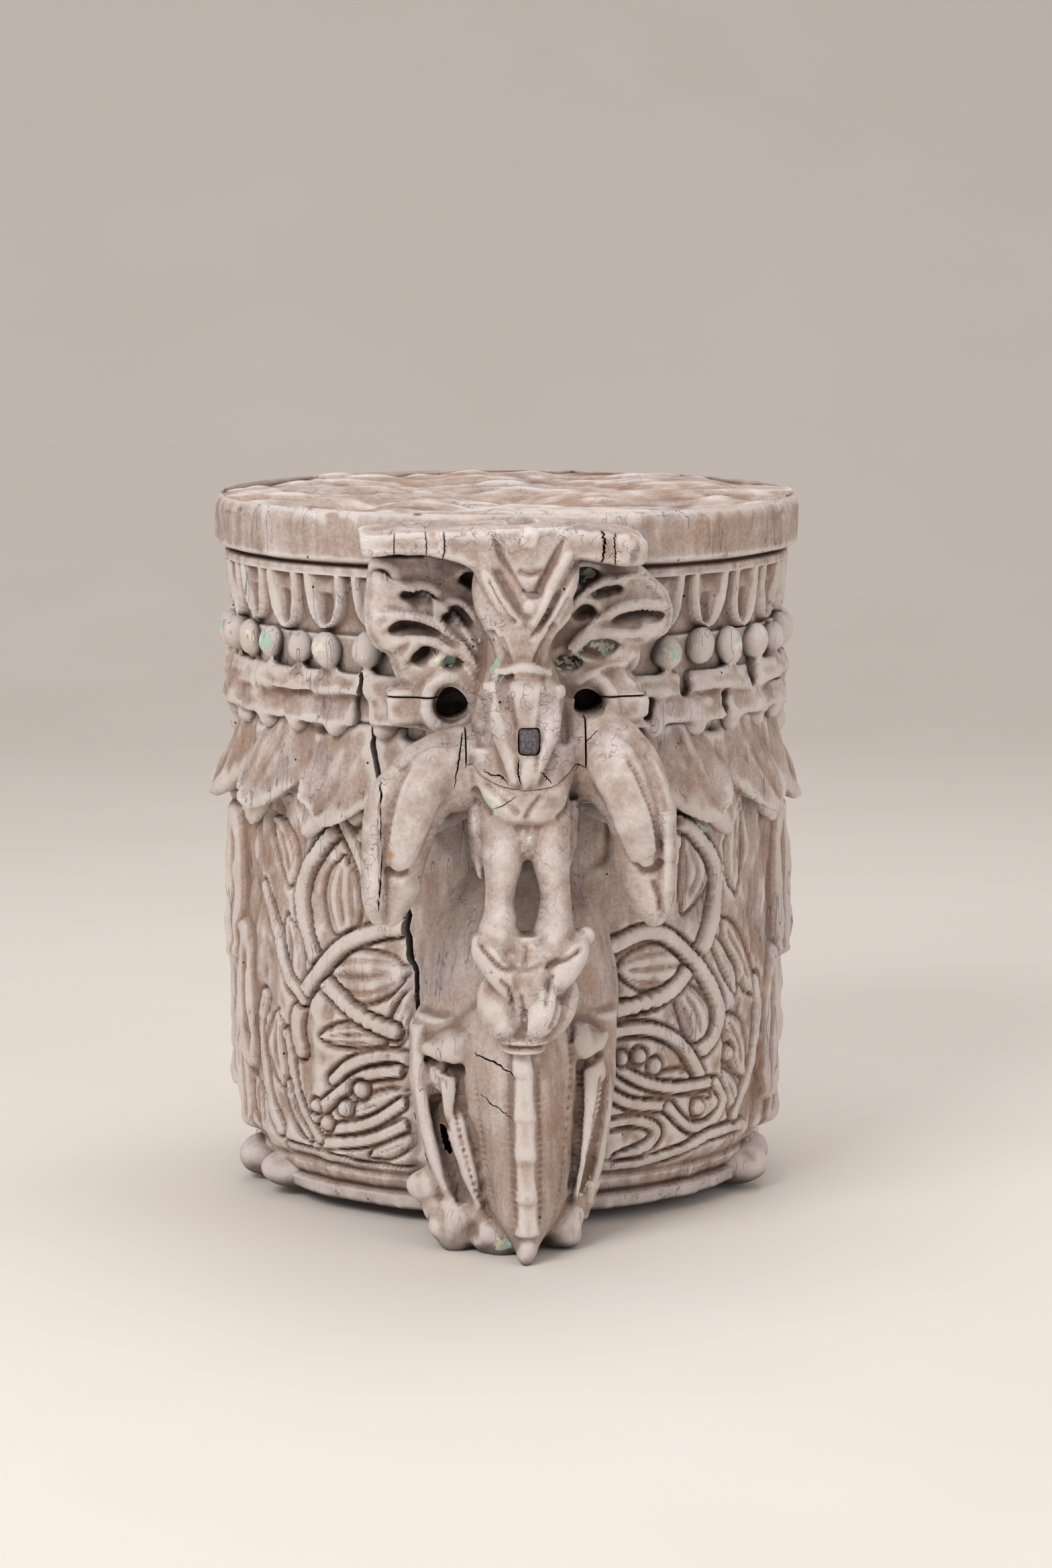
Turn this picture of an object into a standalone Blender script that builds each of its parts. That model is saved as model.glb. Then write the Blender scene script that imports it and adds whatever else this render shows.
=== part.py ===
"""Carved wooden capital: a turned and carved drum with a bird bracket in two blocks and an iron nail.

Metres, +Z up. The origin is on the drum's axis, in the plane of its underside. The bracket faces -Y.
Forms are given as shares: x to the right and f forward (towards -Y) of SPREAD, which follows the rim's
radius, and z up of HEIGHT. The bracket and the pod are drawn on a grid of their own, which FORM_WIDTH,
FORM_REACH, FORM_RISE and FORM_DROP set on the drum.
"""

import math

import bmesh
import bpy
import numpy as np
from mathutils import Matrix, Vector

# Driving dimensions, metres
HEIGHT = 0.450
RIM_RADIUS = 0.1912
RIM_OVERHANG = 0.0092
BODY_SET_IN = 0.0065
BASE_SET_IN = 0.0137
MOULDING = 0.006
FOOT_DROP = 0.008
JOINT_GAP = 0.0003
SHAKE_WIDTH = 0.0045
SHAKE_DEPTH = 0.018

# Radii that follow from them
NECK_RADIUS = RIM_RADIUS - RIM_OVERHANG
BODY_RADIUS = NECK_RADIUS - BODY_SET_IN
BASE_RADIUS = BODY_RADIUS - BASE_SET_IN

# The grid of the bracket's and the pod's forms: one share across the drum, against the rim's radius, and
# its width, reach, rise and drop on the drum
SPREAD = 2.3536 * RIM_RADIUS
FORM_WIDTH = 0.974
FORM_REACH = 0.985
FORM_RISE = 1.0105
FORM_DROP = 0.0130

# Iron nail, metres
NAIL_HEAD_WIDTH = 0.0120
NAIL_HEAD_HEIGHT = 0.0160
NAIL_HEAD_THICK = 0.0060
NAIL_SHANK = 0.0080
NAIL_TIP = 0.0040
NAIL_LENGTH = 0.0660
NAIL_CLEARANCE = 0.0005

# Housing in the drum for the bracket's tenon, shares of HEIGHT
HOUSING_HALF_WIDTH = 0.130
HOUSING_FACE = 0.362
HOUSING_FLOOR = 0.605
SIDE_BACK = 0.418
HOUSING_CLEARANCE = 0.0010
OUTSIDE = 0.7
ABOVE = 1.1

# The joint between the two bracket blocks: level at the sides and behind, with a tongue of the upper block
# that slants down in the breast, from (f, z) JOINT_BACK to JOINT_FRONT
JOINT_FRONT = (0.600, 0.647)
JOINT_BACK = (0.470, 0.757)
TONGUE_HALF_WIDTH = 0.083

# Level where the lotus bud stands on the pod's ridge, and the room for it in front of the pod
BUD_SEAT = 0.285
BUD_ROOM_TOP = 0.45
BUD_ROOM_BACK = 0.50
BUD_ROOM_HALF = 0.10

# Repeats round the drum
TONGUES = 30
BEADS = 40
SLABS = 18
PETALS = 16

# Heights on the drum, shares of HEIGHT
RIM_FOOT = 0.922
FILLET_FOOT = 0.905
TONGUE_FOOT = 0.825
BEAD_LEVEL = 0.802
UPPER_SLAB = (0.740, 0.769)
LOWER_SLAB = (0.697, 0.734)
PETAL_TOP = 0.697
PETAL_TIP = 0.535
VINE_TOP = 0.520
VINE_FOOT = 0.080
VINE_RELIEF = 0.0075

# Fineness
DRUM_COLUMNS = 420
VOXEL = 0.0024
DRUM_TRIANGLES = 5300
BRACKET_TRIANGLES = 3400


def clear_scene():
    """Remove whatever the start-up file holds."""
    for item in list(bpy.data.objects):
        bpy.data.objects.remove(item, do_unlink=True)


def new_collection(name):
    """A collection under the scene's own."""
    collection = bpy.data.collections.new(name)
    bpy.context.scene.collection.children.link(collection)
    return collection


def material(name, color, roughness, metallic=0.0):
    """A plain Principled material."""
    made = bpy.data.materials.new(name)
    made.use_nodes = True
    shader = made.node_tree.nodes["Principled BSDF"]
    shader.inputs["Base Color"].default_value = (*color, 1.0)
    shader.inputs["Roughness"].default_value = roughness
    shader.inputs["Metallic"].default_value = metallic
    return made


def carved(x, f, z):
    """World coordinates of places on the forms' grid, as numbers or arrays."""
    return x * FORM_WIDTH * SPREAD, -f * FORM_REACH * SPREAD, (z * FORM_RISE - FORM_DROP) * HEIGHT


def place(x, f, z):
    """World point of a place on the forms' grid."""
    return Vector(carved(x, f, z))


def smooth(value, low, high):
    """0 below low, 1 above high, and an S curve between them."""
    t = np.clip((value - low) / (high - low), 0.0, 1.0)
    return t * t * (3.0 - 2.0 * t)


def dome(distance, reach):
    """A round bump: 1 at distance 0, falling as a circle's arc to 0 at reach."""
    return np.sqrt(np.clip(1.0 - (distance / reach) ** 2, 0.0, 1.0))


def ridge(distance, width):
    """A soft ridge along distance 0."""
    return np.exp(-((distance / width) ** 2))


def cell(angle, count, shift=0.0):
    """Place within its cell, -1 to 1, and the cell's number, for a pattern of count cells round the drum."""
    turns = angle / (2.0 * math.pi) * count + shift
    number = np.floor(turns)
    return (turns - number) * 2.0 - 1.0, number


def scatter(number, seed):
    """A steady pseudo-random value from 0 to 1 for each whole number."""
    wave = np.sin(number * 12.9898 + seed * 78.233) * 43758.5453
    return wave - np.floor(wave)


def angle_from(angle, centre):
    """Signed difference of two angles, -pi to pi."""
    return (angle - centre + math.pi) % (2.0 * math.pi) - math.pi


def turned_profile(z):
    """The drum's plain turned radius, in metres."""
    heights = [0.0, 0.006, 0.022, 0.030, 0.046, 0.056, VINE_FOOT, 0.30, VINE_TOP, PETAL_TOP, BEAD_LEVEL - 0.022,
               TONGUE_FOOT, FILLET_FOOT]
    ring = BASE_RADIUS
    body = BODY_RADIUS
    neck = NECK_RADIUS
    edge = MOULDING
    radii = [ring - edge / 2, ring, ring + edge / 3, ring - edge / 3, ring + edge / 2, ring,
             body - edge, body, body - edge / 3, body - edge / 2, neck - edge, neck - edge / 3, neck]
    radius = np.interp(z, heights, radii)
    radius = np.where(z > FILLET_FOOT, neck + edge * 0.6, radius)
    groove = ridge(z - RIM_FOOT, 0.004) * edge * 0.6
    rim = smooth(z, RIM_FOOT - 0.002, RIM_FOOT + 0.006)
    corner = smooth(z, 0.985, 1.0) ** 2 * edge * 0.5
    return radius + rim * (RIM_RADIUS - radius) - groove - corner


def tongues(angle, z):
    """Hanging tongues with a raised edge and a drop-shaped hollow."""
    across, _ = cell(angle, TONGUES)
    down = np.clip((FILLET_FOOT - z) / (FILLET_FOOT - TONGUE_FOOT), 0.0, 1.2)
    half = 0.86 * np.sqrt(np.clip(1.0 - down ** 3, 0.0, 1.0))
    edge = ridge(np.abs(across) - half + 0.18, 0.22) * smooth(1.06 - down, 0.0, 0.08)
    hollow = ridge(across, 0.30) * dome(down - 0.58, 0.30)
    inside = smooth(half - np.abs(across), -0.05, 0.15)
    band = (z < FILLET_FOOT) & (z > TONGUE_FOOT - 0.003)
    return np.where(band, 0.0035 * inside + 0.0035 * edge - 0.0060 * hollow - 0.003, 0.0)


def bead_row(angle, z):
    """A row of round beads."""
    across, number = cell(angle, BEADS)
    size = 0.85 + 0.15 * scatter(number, 3)
    reach = math.pi * NECK_RADIUS / HEIGHT / BEADS
    distance = np.hypot(across * reach, z - BEAD_LEVEL)
    return 0.0125 * size * dome(distance, reach * 1.02)


def slab_tier(angle, z, band, seed, shift):
    """One tier of broken slabs with slanting lower edges."""
    across, number = cell(angle, SLABS, shift)
    rough = scatter(number, seed)
    low = band[0] + 0.010 * (rough - 0.5) * across
    high = band[1] + 0.006 * (scatter(number, seed + 7) - 0.5)
    inside = smooth(z, low - 0.002, low + 0.002) * smooth(high - z, -0.002, 0.002)
    joint = smooth(0.97 - np.abs(across), 0.0, 0.06)
    return inside * joint * (0.0085 + 0.0035 * rough)


def petals(angle, z):
    """Large leaves that droop outwards to a rounded tip."""
    across, number = cell(angle, PETALS, 0.5)
    tip = PETAL_TIP + 0.020 * (scatter(number, 11) - 0.5)
    down = (PETAL_TOP - z) / (PETAL_TOP - tip)
    half = 0.96 * np.sqrt(np.clip(1.0 - np.clip(down, 0.0, 1.0) ** 4, 0.0, 1.0))
    inside = smooth(half - np.abs(across), -0.04, 0.08) * (down > 0.0) * (down < 1.03)
    belly = 0.0035 + 0.0120 * np.clip(down, 0.0, 1.0) ** 1.6 - 0.0035 * across ** 2
    midrib = 0.0018 * ridge(across, 0.14)
    return inside * (belly - midrib)


def small_balls(angle, z):
    """Small balls along the top of the petals."""
    across, _ = cell(angle, 2 * PETALS)
    reach = math.pi * BODY_RADIUS / HEIGHT / PETALS / 2.0
    distance = np.hypot(across * reach, z - PETAL_TOP + 0.012)
    return 0.0075 * dome(distance, 0.0135)


def vine_loop(along, up, centre, size, tilt):
    """A vine ring with a pointed, grooved leaf in it, on the unrolled surface in shares of HEIGHT."""
    turn = math.radians(tilt)
    dx = along - centre[0]
    dz = up - centre[1]
    a = dx * math.cos(turn) + dz * math.sin(turn)
    b = -dx * math.sin(turn) + dz * math.cos(turn)
    distance = np.hypot(a / size[0], b / size[1])
    width = 0.012 / max(size)
    ring = VINE_RELIEF * ridge(distance - 1.0, width)
    leaf_half = 0.60 * size[1] * np.sqrt(np.clip(1.0 - (a / (0.78 * size[0])) ** 2, 0.0, 1.0))
    leaf = 0.75 * VINE_RELIEF * smooth(leaf_half - np.abs(b), -0.002, 0.006)
    rib = 0.45 * VINE_RELIEF * ridge(b, 0.005) * (distance < 0.75)
    return ring, leaf - rib


def vines(angle, z):
    """Interlaced loops and leaves, mirrored on both sides of the front and of the back."""
    side = np.abs(angle_from(angle, 0.0))
    side = np.where(side > math.pi / 2, math.pi - side, side)
    along = side * BODY_RADIUS / HEIGHT
    loops = [
        ((0.262, 0.455), (0.080, 0.068), -25.0),
        ((0.221, 0.340), (0.088, 0.056), 8.0),
        ((0.385, 0.330), (0.052, 0.070), 90.0),
        ((0.325, 0.262), (0.056, 0.040), 35.0),
        ((0.225, 0.225), (0.088, 0.034), 12.0),
        ((0.232, 0.158), (0.090, 0.038), -10.0),
        ((0.205, 0.105), (0.075, 0.030), 6.0),
        ((0.400, 0.190), (0.060, 0.070), 70.0),
        ((0.335, 0.118), (0.052, 0.034), -20.0),
    ]
    relief = np.zeros_like(along)
    for centre, size, tilt in loops:
        ring, leaf = vine_loop(along, z, centre, size, tilt)
        relief = np.maximum(relief, np.maximum(ring, leaf))
    zone = smooth(z, VINE_FOOT - 0.02, VINE_FOOT + 0.02) * smooth(VINE_TOP + 0.02 - z, 0.0, 0.03)
    return zone * relief


def side_masses(angle, z):
    """Stacked balls and a feathered leaf at the two sides and the back."""
    relief = np.zeros_like(angle)
    for centre in (-math.pi / 2, math.pi / 2, math.pi):
        off = angle_from(angle, centre) * BODY_RADIUS / HEIGHT
        for level in (0.765, 0.715, 0.660, 0.605, 0.555):
            distance = np.hypot(off, z - level)
            relief = np.maximum(relief, 0.012 * dome(distance, 0.030))
        along = (z - 0.24) / 0.26
        half = 0.115 * np.sqrt(np.clip(1.0 - (2.0 * along - 1.0) ** 4, 0.0, 1.0))
        feathers = 0.6 + 0.4 * np.cos(np.abs(off) * 260.0)
        leaf = smooth(half - np.abs(off), 0.0, 0.02) * (0.008 + 0.005 * feathers)
        relief = np.maximum(relief, leaf * (along > 0.0) * (along < 1.0))
    return relief


def shake_line(z):
    """Angle of the drying shake at a height, in radians."""
    levels = [0.04, 0.12, 0.17, 0.30, 0.46, 0.62, 0.70, 0.79]
    degrees = [-18.5, -20.0, -21.0, -21.5, -24.0, -28.5, -31.0, -32.0]
    return np.radians(np.interp(z, levels, degrees))


def shake(angle, z):
    """Depth of the drying shake."""
    across = angle_from(angle, 0.0) - shake_line(z)
    distance = across * BODY_RADIUS
    length = smooth(z, 0.05, 0.10) * smooth(0.80 - z, 0.0, 0.02)
    return SHAKE_DEPTH * length * smooth(SHAKE_WIDTH / 2 - np.abs(distance), -0.0008, 0.0008)


def drum_radius(angle, z):
    """The drum's carved radius in metres, at an angle from the front and a height in shares."""
    relief = tongues(angle, z) + bead_row(angle, z)
    relief = relief + slab_tier(angle, z, UPPER_SLAB, 5, 0.2) + slab_tier(angle, z, LOWER_SLAB, 9, 0.65)
    low = np.maximum(petals(angle, z), small_balls(angle, z))
    low = np.maximum(low, vines(angle, z))
    low = np.maximum(low, side_masses(angle, z))
    return turned_profile(z) + relief + low - shake(angle, z)


def top_lumps(x, y):
    """Worn hollows in the top, in metres below the bearing face."""
    hollow = 0.5 + 0.5 * np.sin(34.0 * x + 1.3) * np.cos(27.0 * y - 0.6)
    edge = smooth(np.hypot(x, y), 0.10, RIM_RADIUS)
    return 0.0012 + 0.006 * hollow * edge


def closed_surface(rings):
    """A closed body from rings of points, as a bmesh: row after row, with a point at each end."""
    count, sides, _ = rings.shape
    bm = bmesh.new()
    rows = [[bm.verts.new(point) for point in ring] for ring in rings]
    ends = [bm.verts.new(rings[0].mean(axis=0)), bm.verts.new(rings[-1].mean(axis=0))]
    for i in range(count - 1):
        for j in range(sides):
            k = (j + 1) % sides
            bm.faces.new((rows[i][j], rows[i][k], rows[i + 1][k], rows[i + 1][j]))
    for j in range(sides):
        k = (j + 1) % sides
        bm.faces.new((ends[0], rows[0][k], rows[0][j]))
        bm.faces.new((ends[1], rows[-1][j], rows[-1][k]))
    bmesh.ops.recalc_face_normals(bm, faces=bm.faces)
    return bm


def drum_surface():
    """Underside, carved wall and worn top of the drum as one closed surface."""
    angle = np.linspace(-math.pi, math.pi, DRUM_COLUMNS, endpoint=False)
    heights = np.concatenate([np.linspace(0.0, 0.5, 70), np.linspace(0.505, 1.0, 90)])
    a, z = np.meshgrid(angle, heights)
    radius = drum_radius(a, z)
    inward = np.linspace(0.06, 0.97, 14)
    under = radius[0] * inward[:, None]
    over = radius[-1] * inward[::-1, None]
    radii = np.vstack([under, radius, over])
    levels = np.vstack([np.zeros_like(under), z * HEIGHT, np.full_like(over, HEIGHT)])
    angles = np.broadcast_to(angle, radii.shape)
    x = radii * np.sin(angles)
    y = -radii * np.cos(angles)
    top = levels > HEIGHT * 0.999
    levels = np.where(top, levels - top_lumps(x, y) + 0.0025, levels)
    return closed_surface(np.stack([x, y, levels], axis=-1))


def spline(stations, steps):
    """Smooth values through the stations, one row for each of steps places."""
    values = np.array(stations, dtype=float)
    count = len(values)
    t = np.linspace(0.0, count - 1.0, steps)
    i = np.clip(t.astype(int), 0, count - 2)
    u = (t - i)[:, None]
    before = values[np.clip(i - 1, 0, count - 1)]
    first = values[i]
    second = values[i + 1]
    after = values[np.clip(i + 2, 0, count - 1)]
    return (first + 0.5 * u * (second - before + u * (2 * before - 5 * first + 4 * second - after
            + u * (3 * (first - second) + after - before))))


def limb(stations, sides=20, steps=28, power=2.0):
    """A body round a path: each station is x, f, z, half width across the path and half depth along f."""
    path = spline(stations, steps)
    tangent = np.gradient(path[:, :3], axis=0)
    tangent[:, 1] = 0.0
    tangent /= np.maximum(np.linalg.norm(tangent, axis=1), 1e-6)[:, None]
    turn = np.linspace(0.0, 2.0 * math.pi, sides, endpoint=False)
    wide = np.sign(np.cos(turn)) * np.abs(np.cos(turn)) ** (2.0 / power)
    deep = np.sign(np.sin(turn)) * np.abs(np.sin(turn)) ** (2.0 / power)
    half = np.maximum(path[:, 3:5], 0.001)
    x = path[:, 0:1] + half[:, 0:1] * wide * tangent[:, 2:3]
    f = path[:, 1:2] + half[:, 1:2] * deep
    z = path[:, 2:3] - half[:, 0:1] * wide * tangent[:, 0:1]
    return closed_surface(np.stack(carved(x, f, z), axis=-1))


def ball(x, f, z, radius, stretch=(1.0, 1.0, 1.0)):
    """An ellipsoid: radius as a share, stretched along x, f and z."""
    bm = bmesh.new()
    across, forward, up = [radius * s for s in stretch]
    size = Matrix.Diagonal((across * SPREAD, forward * SPREAD, up * HEIGHT, 1.0))
    turned = Matrix.Translation(place(x, f, z)) @ size
    bmesh.ops.create_uvsphere(bm, u_segments=20, v_segments=12, radius=1.0, matrix=turned)
    return bm


def block(low, high):
    """A box between two corners (x, f, z) in shares."""
    bm = bmesh.new()
    corners = [place(*low), place(*high)]
    middle = (corners[0] + corners[1]) / 2
    size = [abs(b - a) for a, b in zip(*corners)]
    matrix = Matrix.Translation(middle) @ Matrix.Diagonal((*size, 1.0))
    bmesh.ops.create_cube(bm, size=1.0, matrix=matrix)
    return bm


def mesh_object(name, forms, collection):
    """One object holding several closed bodies."""
    whole = bmesh.new()
    for form in forms:
        piece = bpy.data.meshes.new("form")
        form.to_mesh(piece)
        form.free()
        whole.from_mesh(piece)
        bpy.data.meshes.remove(piece)
    mesh = bpy.data.meshes.new(name)
    whole.to_mesh(mesh)
    whole.free()
    made = bpy.data.objects.new(name, mesh)
    collection.objects.link(made)
    return made


def apply_modifiers(made):
    """Turn the object's modifiers into its mesh."""
    graph = bpy.context.evaluated_depsgraph_get()
    mesh = bpy.data.meshes.new_from_object(made.evaluated_get(graph))
    made.modifiers.clear()
    old = made.data
    made.data = mesh
    bpy.data.meshes.remove(old)


def fuse(made, triangles):
    """Join an object's overlapping bodies into one skin and thin it to a number of triangles."""
    remesh = made.modifiers.new("fuse", "REMESH")
    remesh.mode = "VOXEL"
    remesh.voxel_size = VOXEL
    apply_modifiers(made)
    count = sum(len(face.vertices) - 2 for face in made.data.polygons)
    thin = made.modifiers.new("thin", "DECIMATE")
    thin.ratio = min(1.0, triangles / count)
    thin.use_collapse_triangulate = True
    apply_modifiers(made)


def cut_plane(made, point, normal, cutters):
    """Cut away what lies on the normal's side of a plane, with a large box."""
    reach = 4.0 * HEIGHT
    bm = bmesh.new()
    turned = Vector(normal).to_track_quat("Z", "Y").to_matrix().to_4x4()
    matrix = Matrix.Translation(Vector(point)) @ turned @ Matrix.Translation((0.0, 0.0, reach / 2))
    bmesh.ops.create_cube(bm, size=reach, matrix=matrix)
    subtract(made, mesh_object("plane_cutter", [bm], cutters))


def cut_with(made, cutter, operation):
    """Cut, join or keep one closed mesh by another."""
    tool = made.modifiers.new("cut", "BOOLEAN")
    tool.operation = operation
    tool.solver = "EXACT"
    tool.object = cutter
    cutter.hide_render = True
    cutter.display_type = "WIRE"
    apply_modifiers(made)


def subtract(made, cutter):
    """Cut one closed mesh out of another."""
    cut_with(made, cutter, "DIFFERENCE")


def tidy_body(made):
    """Keep the largest closed piece, without loose points or slivers of no size."""
    bm = bmesh.new()
    bm.from_mesh(made.data)
    bmesh.ops.triangulate(bm, faces=bm.faces)
    islands = []
    left = set(bm.faces)
    while left:
        front = [left.pop()]
        island = []
        while front:
            face = front.pop()
            island.append(face)
            for edge in face.edges:
                for other in edge.link_faces:
                    if other in left:
                        left.remove(other)
                        front.append(other)
        islands.append(island)
    islands.sort(key=len)
    for island in islands[:-1]:
        bmesh.ops.delete(bm, geom=island, context="FACES")
    loose = [vert for vert in bm.verts if not vert.link_faces]
    bmesh.ops.delete(bm, geom=loose, context="VERTS")
    bmesh.ops.triangulate(bm, faces=bm.faces)
    bmesh.ops.recalc_face_normals(bm, faces=bm.faces)
    bm.to_mesh(made.data)
    bm.free()


def pod_forms():
    """The pendant pod under the bird: dome, keel, stepped ridge, side leaves and ball lobes."""
    forms = [limb([(0, 0.36, 0.530, 0.020, 0.04), (0, 0.36, 0.505, 0.070, 0.08), (0, 0.36, 0.44, 0.120, 0.115),
                   (0, 0.36, 0.35, 0.142, 0.13), (0, 0.36, 0.25, 0.136, 0.135), (0, 0.36, 0.15, 0.112, 0.14),
                   (0, 0.36, 0.06, 0.090, 0.15), (0, 0.36, 0.012, 0.070, 0.15)], sides=32, steps=40)]
    forms.append(limb([(0, 0.46, 0.330, 0.050, 0.070), (0, 0.46, 0.290, 0.078, 0.095), (0, 0.46, 0.20, 0.078, 0.110),
                       (0, 0.47, 0.11, 0.064, 0.112), (0, 0.49, 0.05, 0.042, 0.100),
                       (0, 0.52, 0.008, 0.016, 0.075), (0, 0.56, -0.012, 0.008, 0.036)],
                      sides=28, steps=36, power=1.7))
    levels = [0.300, 0.253, 0.191, 0.138, 0.083, 0.036, 0.0]
    front = 0.568
    for high, low in zip(levels[:-1], levels[1:]):
        forms.append(limb([(0, front - 0.030, high + 0.006, 0.014, 0.030), (0, front - 0.024, low, 0.018, 0.034)],
                          sides=16, steps=8, power=5.0))
        front += 0.006
    for side in (-1, 1):
        forms.append(limb([(side * 0.118, 0.455, 0.300, 0.024, 0.035), (side * 0.118, 0.465, 0.270, 0.030, 0.040),
                           (side * 0.106, 0.475, 0.215, 0.020, 0.036), (side * 0.088, 0.485, 0.13, 0.014, 0.034),
                           (side * 0.066, 0.495, 0.07, 0.008, 0.030)]))
        forms.append(ball(side * 0.110, 0.485, 0.285, 0.022, (1.3, 1.0, 0.8)))
    lobes = [(-0.133, 0.455, 0.072, 0.021), (-0.093, 0.490, 0.022, 0.030), (-0.036, 0.515, 0.012, 0.030),
             (0.046, 0.490, 0.020, 0.030), (0.088, 0.462, 0.078, 0.027), (0.096, 0.440, 0.020, 0.026)]
    forms += [ball(*lobe) for lobe in lobes]
    return forms


def foot_lobes():
    """Ball feet under the two sides and the back."""
    forms = []
    for degrees in (-82, -68, 68, 82, 98, -98, 168, 192):
        angle = math.radians(degrees)
        reach = BASE_RADIUS / SPREAD
        across = reach * math.sin(angle) / FORM_WIDTH
        forward = reach * math.cos(angle) / FORM_REACH
        forms.append(ball(across, forward, 0.027, 0.034, (1.0, 1.0, 1.15)))
    return forms


def build_drum(collection, cutters):
    """The drum with its pod, feet and the housing for the bracket."""
    drum = mesh_object("capital_drum", [drum_surface()] + pod_forms() + foot_lobes(), collection)
    fuse(drum, DRUM_TRIANGLES)
    flat = 0.0016
    for vert in drum.data.vertices:
        if abs(vert.co.z) < flat and vert.co.xy.length < BASE_RADIUS - flat:
            vert.co.z = 0.0
    cut_plane(drum, (0.0, 0.0, HEIGHT), (0.0, 0.0, 1.0), cutters)
    cut_plane(drum, (0.0, 0.0, -FOOT_DROP), (0.0, 0.0, -1.0), cutters)
    housing = mesh_object("housing_cutter", [block((-HOUSING_HALF_WIDTH, HOUSING_FACE, HOUSING_FLOOR),
                                                   (HOUSING_HALF_WIDTH, OUTSIDE, ABOVE))], cutters)
    subtract(drum, housing)
    bud_room = mesh_object("bud_cutter", [block((-BUD_ROOM_HALF, BUD_ROOM_BACK, BUD_SEAT),
                                                (BUD_ROOM_HALF, OUTSIDE, BUD_ROOM_TOP))], cutters)
    subtract(drum, bud_room)
    tidy_body(drum)
    return drum


def plate_forms():
    """The scalloped shelf plate and the tenon behind it."""
    gap = HOUSING_CLEARANCE / min(SPREAD, HEIGHT)
    forms = [block((-HOUSING_HALF_WIDTH + gap, HOUSING_FACE + gap, HOUSING_FLOOR + gap),
                   (HOUSING_HALF_WIDTH - gap, 0.46, 0.985))]
    forms.append(limb([(-0.226, 0.505, 0.957, 0.014, 0.085), (-0.205, 0.508, 0.966, 0.018, 0.090),
                       (-0.12, 0.51, 0.980, 0.018, 0.092), (-0.05, 0.51, 0.976, 0.024, 0.094),
                       (0.05, 0.51, 0.974, 0.026, 0.094), (0.10, 0.51, 0.978, 0.022, 0.092),
                       (0.155, 0.508, 0.968, 0.022, 0.088), (0.167, 0.505, 0.963, 0.018, 0.084)],
                      sides=24, steps=30, power=6.0))
    for middle, low in ((-0.196, 0.956), (-0.135, 0.962), (-0.075, 0.962), (0.085, 0.960), (0.138, 0.956)):
        forms.append(block((middle - 0.016, 0.50, low), (middle + 0.016, 0.602, low + 0.029)))
    return forms


def crest_forms():
    """Crest, head, neck, collar and beak of the bird."""
    forms = [limb([(0, 0.50, 0.985, 0.070, 0.085), (0, 0.50, 0.945, 0.072, 0.092), (0, 0.50, 0.905, 0.069, 0.098),
                   (0, 0.50, 0.868, 0.064, 0.100), (0, 0.49, 0.832, 0.040, 0.096), (0, 0.49, 0.806, 0.032, 0.092),
                   (0, 0.48, 0.780, 0.050, 0.105), (0, 0.46, 0.712, 0.074, 0.138), (0, 0.45, 0.650, 0.079, 0.146),
                   (0, 0.45, 0.620, 0.078, 0.130), (0, 0.47, 0.608, 0.060, 0.09)], sides=32, steps=60, power=2.3)]
    forms.append(limb([(-0.028, 0.53, 0.805, 0.012, 0.050), (0.0, 0.545, 0.806, 0.012, 0.052),
                       (0.028, 0.53, 0.805, 0.012, 0.050)]))
    forms.append(limb([(-0.062, 0.555, 0.982, 0.014, 0.030), (-0.042, 0.575, 0.935, 0.016, 0.032),
                       (-0.012, 0.585, 0.888, 0.016, 0.030), (0.002, 0.585, 0.866, 0.010, 0.022)]))
    forms.append(limb([(0.062, 0.555, 0.982, 0.014, 0.030), (0.045, 0.575, 0.940, 0.016, 0.032),
                       (0.022, 0.585, 0.895, 0.015, 0.030), (0.004, 0.585, 0.866, 0.010, 0.022)]))
    forms.append(limb([(0.030, 0.565, 0.862, 0.008, 0.03), (0.046, 0.575, 0.895, 0.013, 0.03),
                       (0.068, 0.565, 0.932, 0.006, 0.02)]))
    forms += [ball(0.002, 0.590, 0.984, 0.024), ball(0.010, 0.600, 0.928, 0.010), ball(0.006, 0.603, 0.893, 0.015)]
    forms.append(limb([(0, 0.555, 0.800, 0.030, 0.030), (0, 0.565, 0.775, 0.046, 0.036), (0, 0.580, 0.735, 0.038, 0.034),
                       (0, 0.592, 0.690, 0.026, 0.026), (0, 0.596, 0.655, 0.012, 0.016)], power=1.8))
    forms.append(ball(-0.001, 0.598, 0.777, 0.023))
    forms.append(limb([(0.002, 0.61, 0.695, 0.008, 0.012), (0, 0.612, 0.668, 0.008, 0.012),
                       (-0.002, 0.606, 0.650, 0.004, 0.008)], sides=12, steps=12))
    return forms


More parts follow.
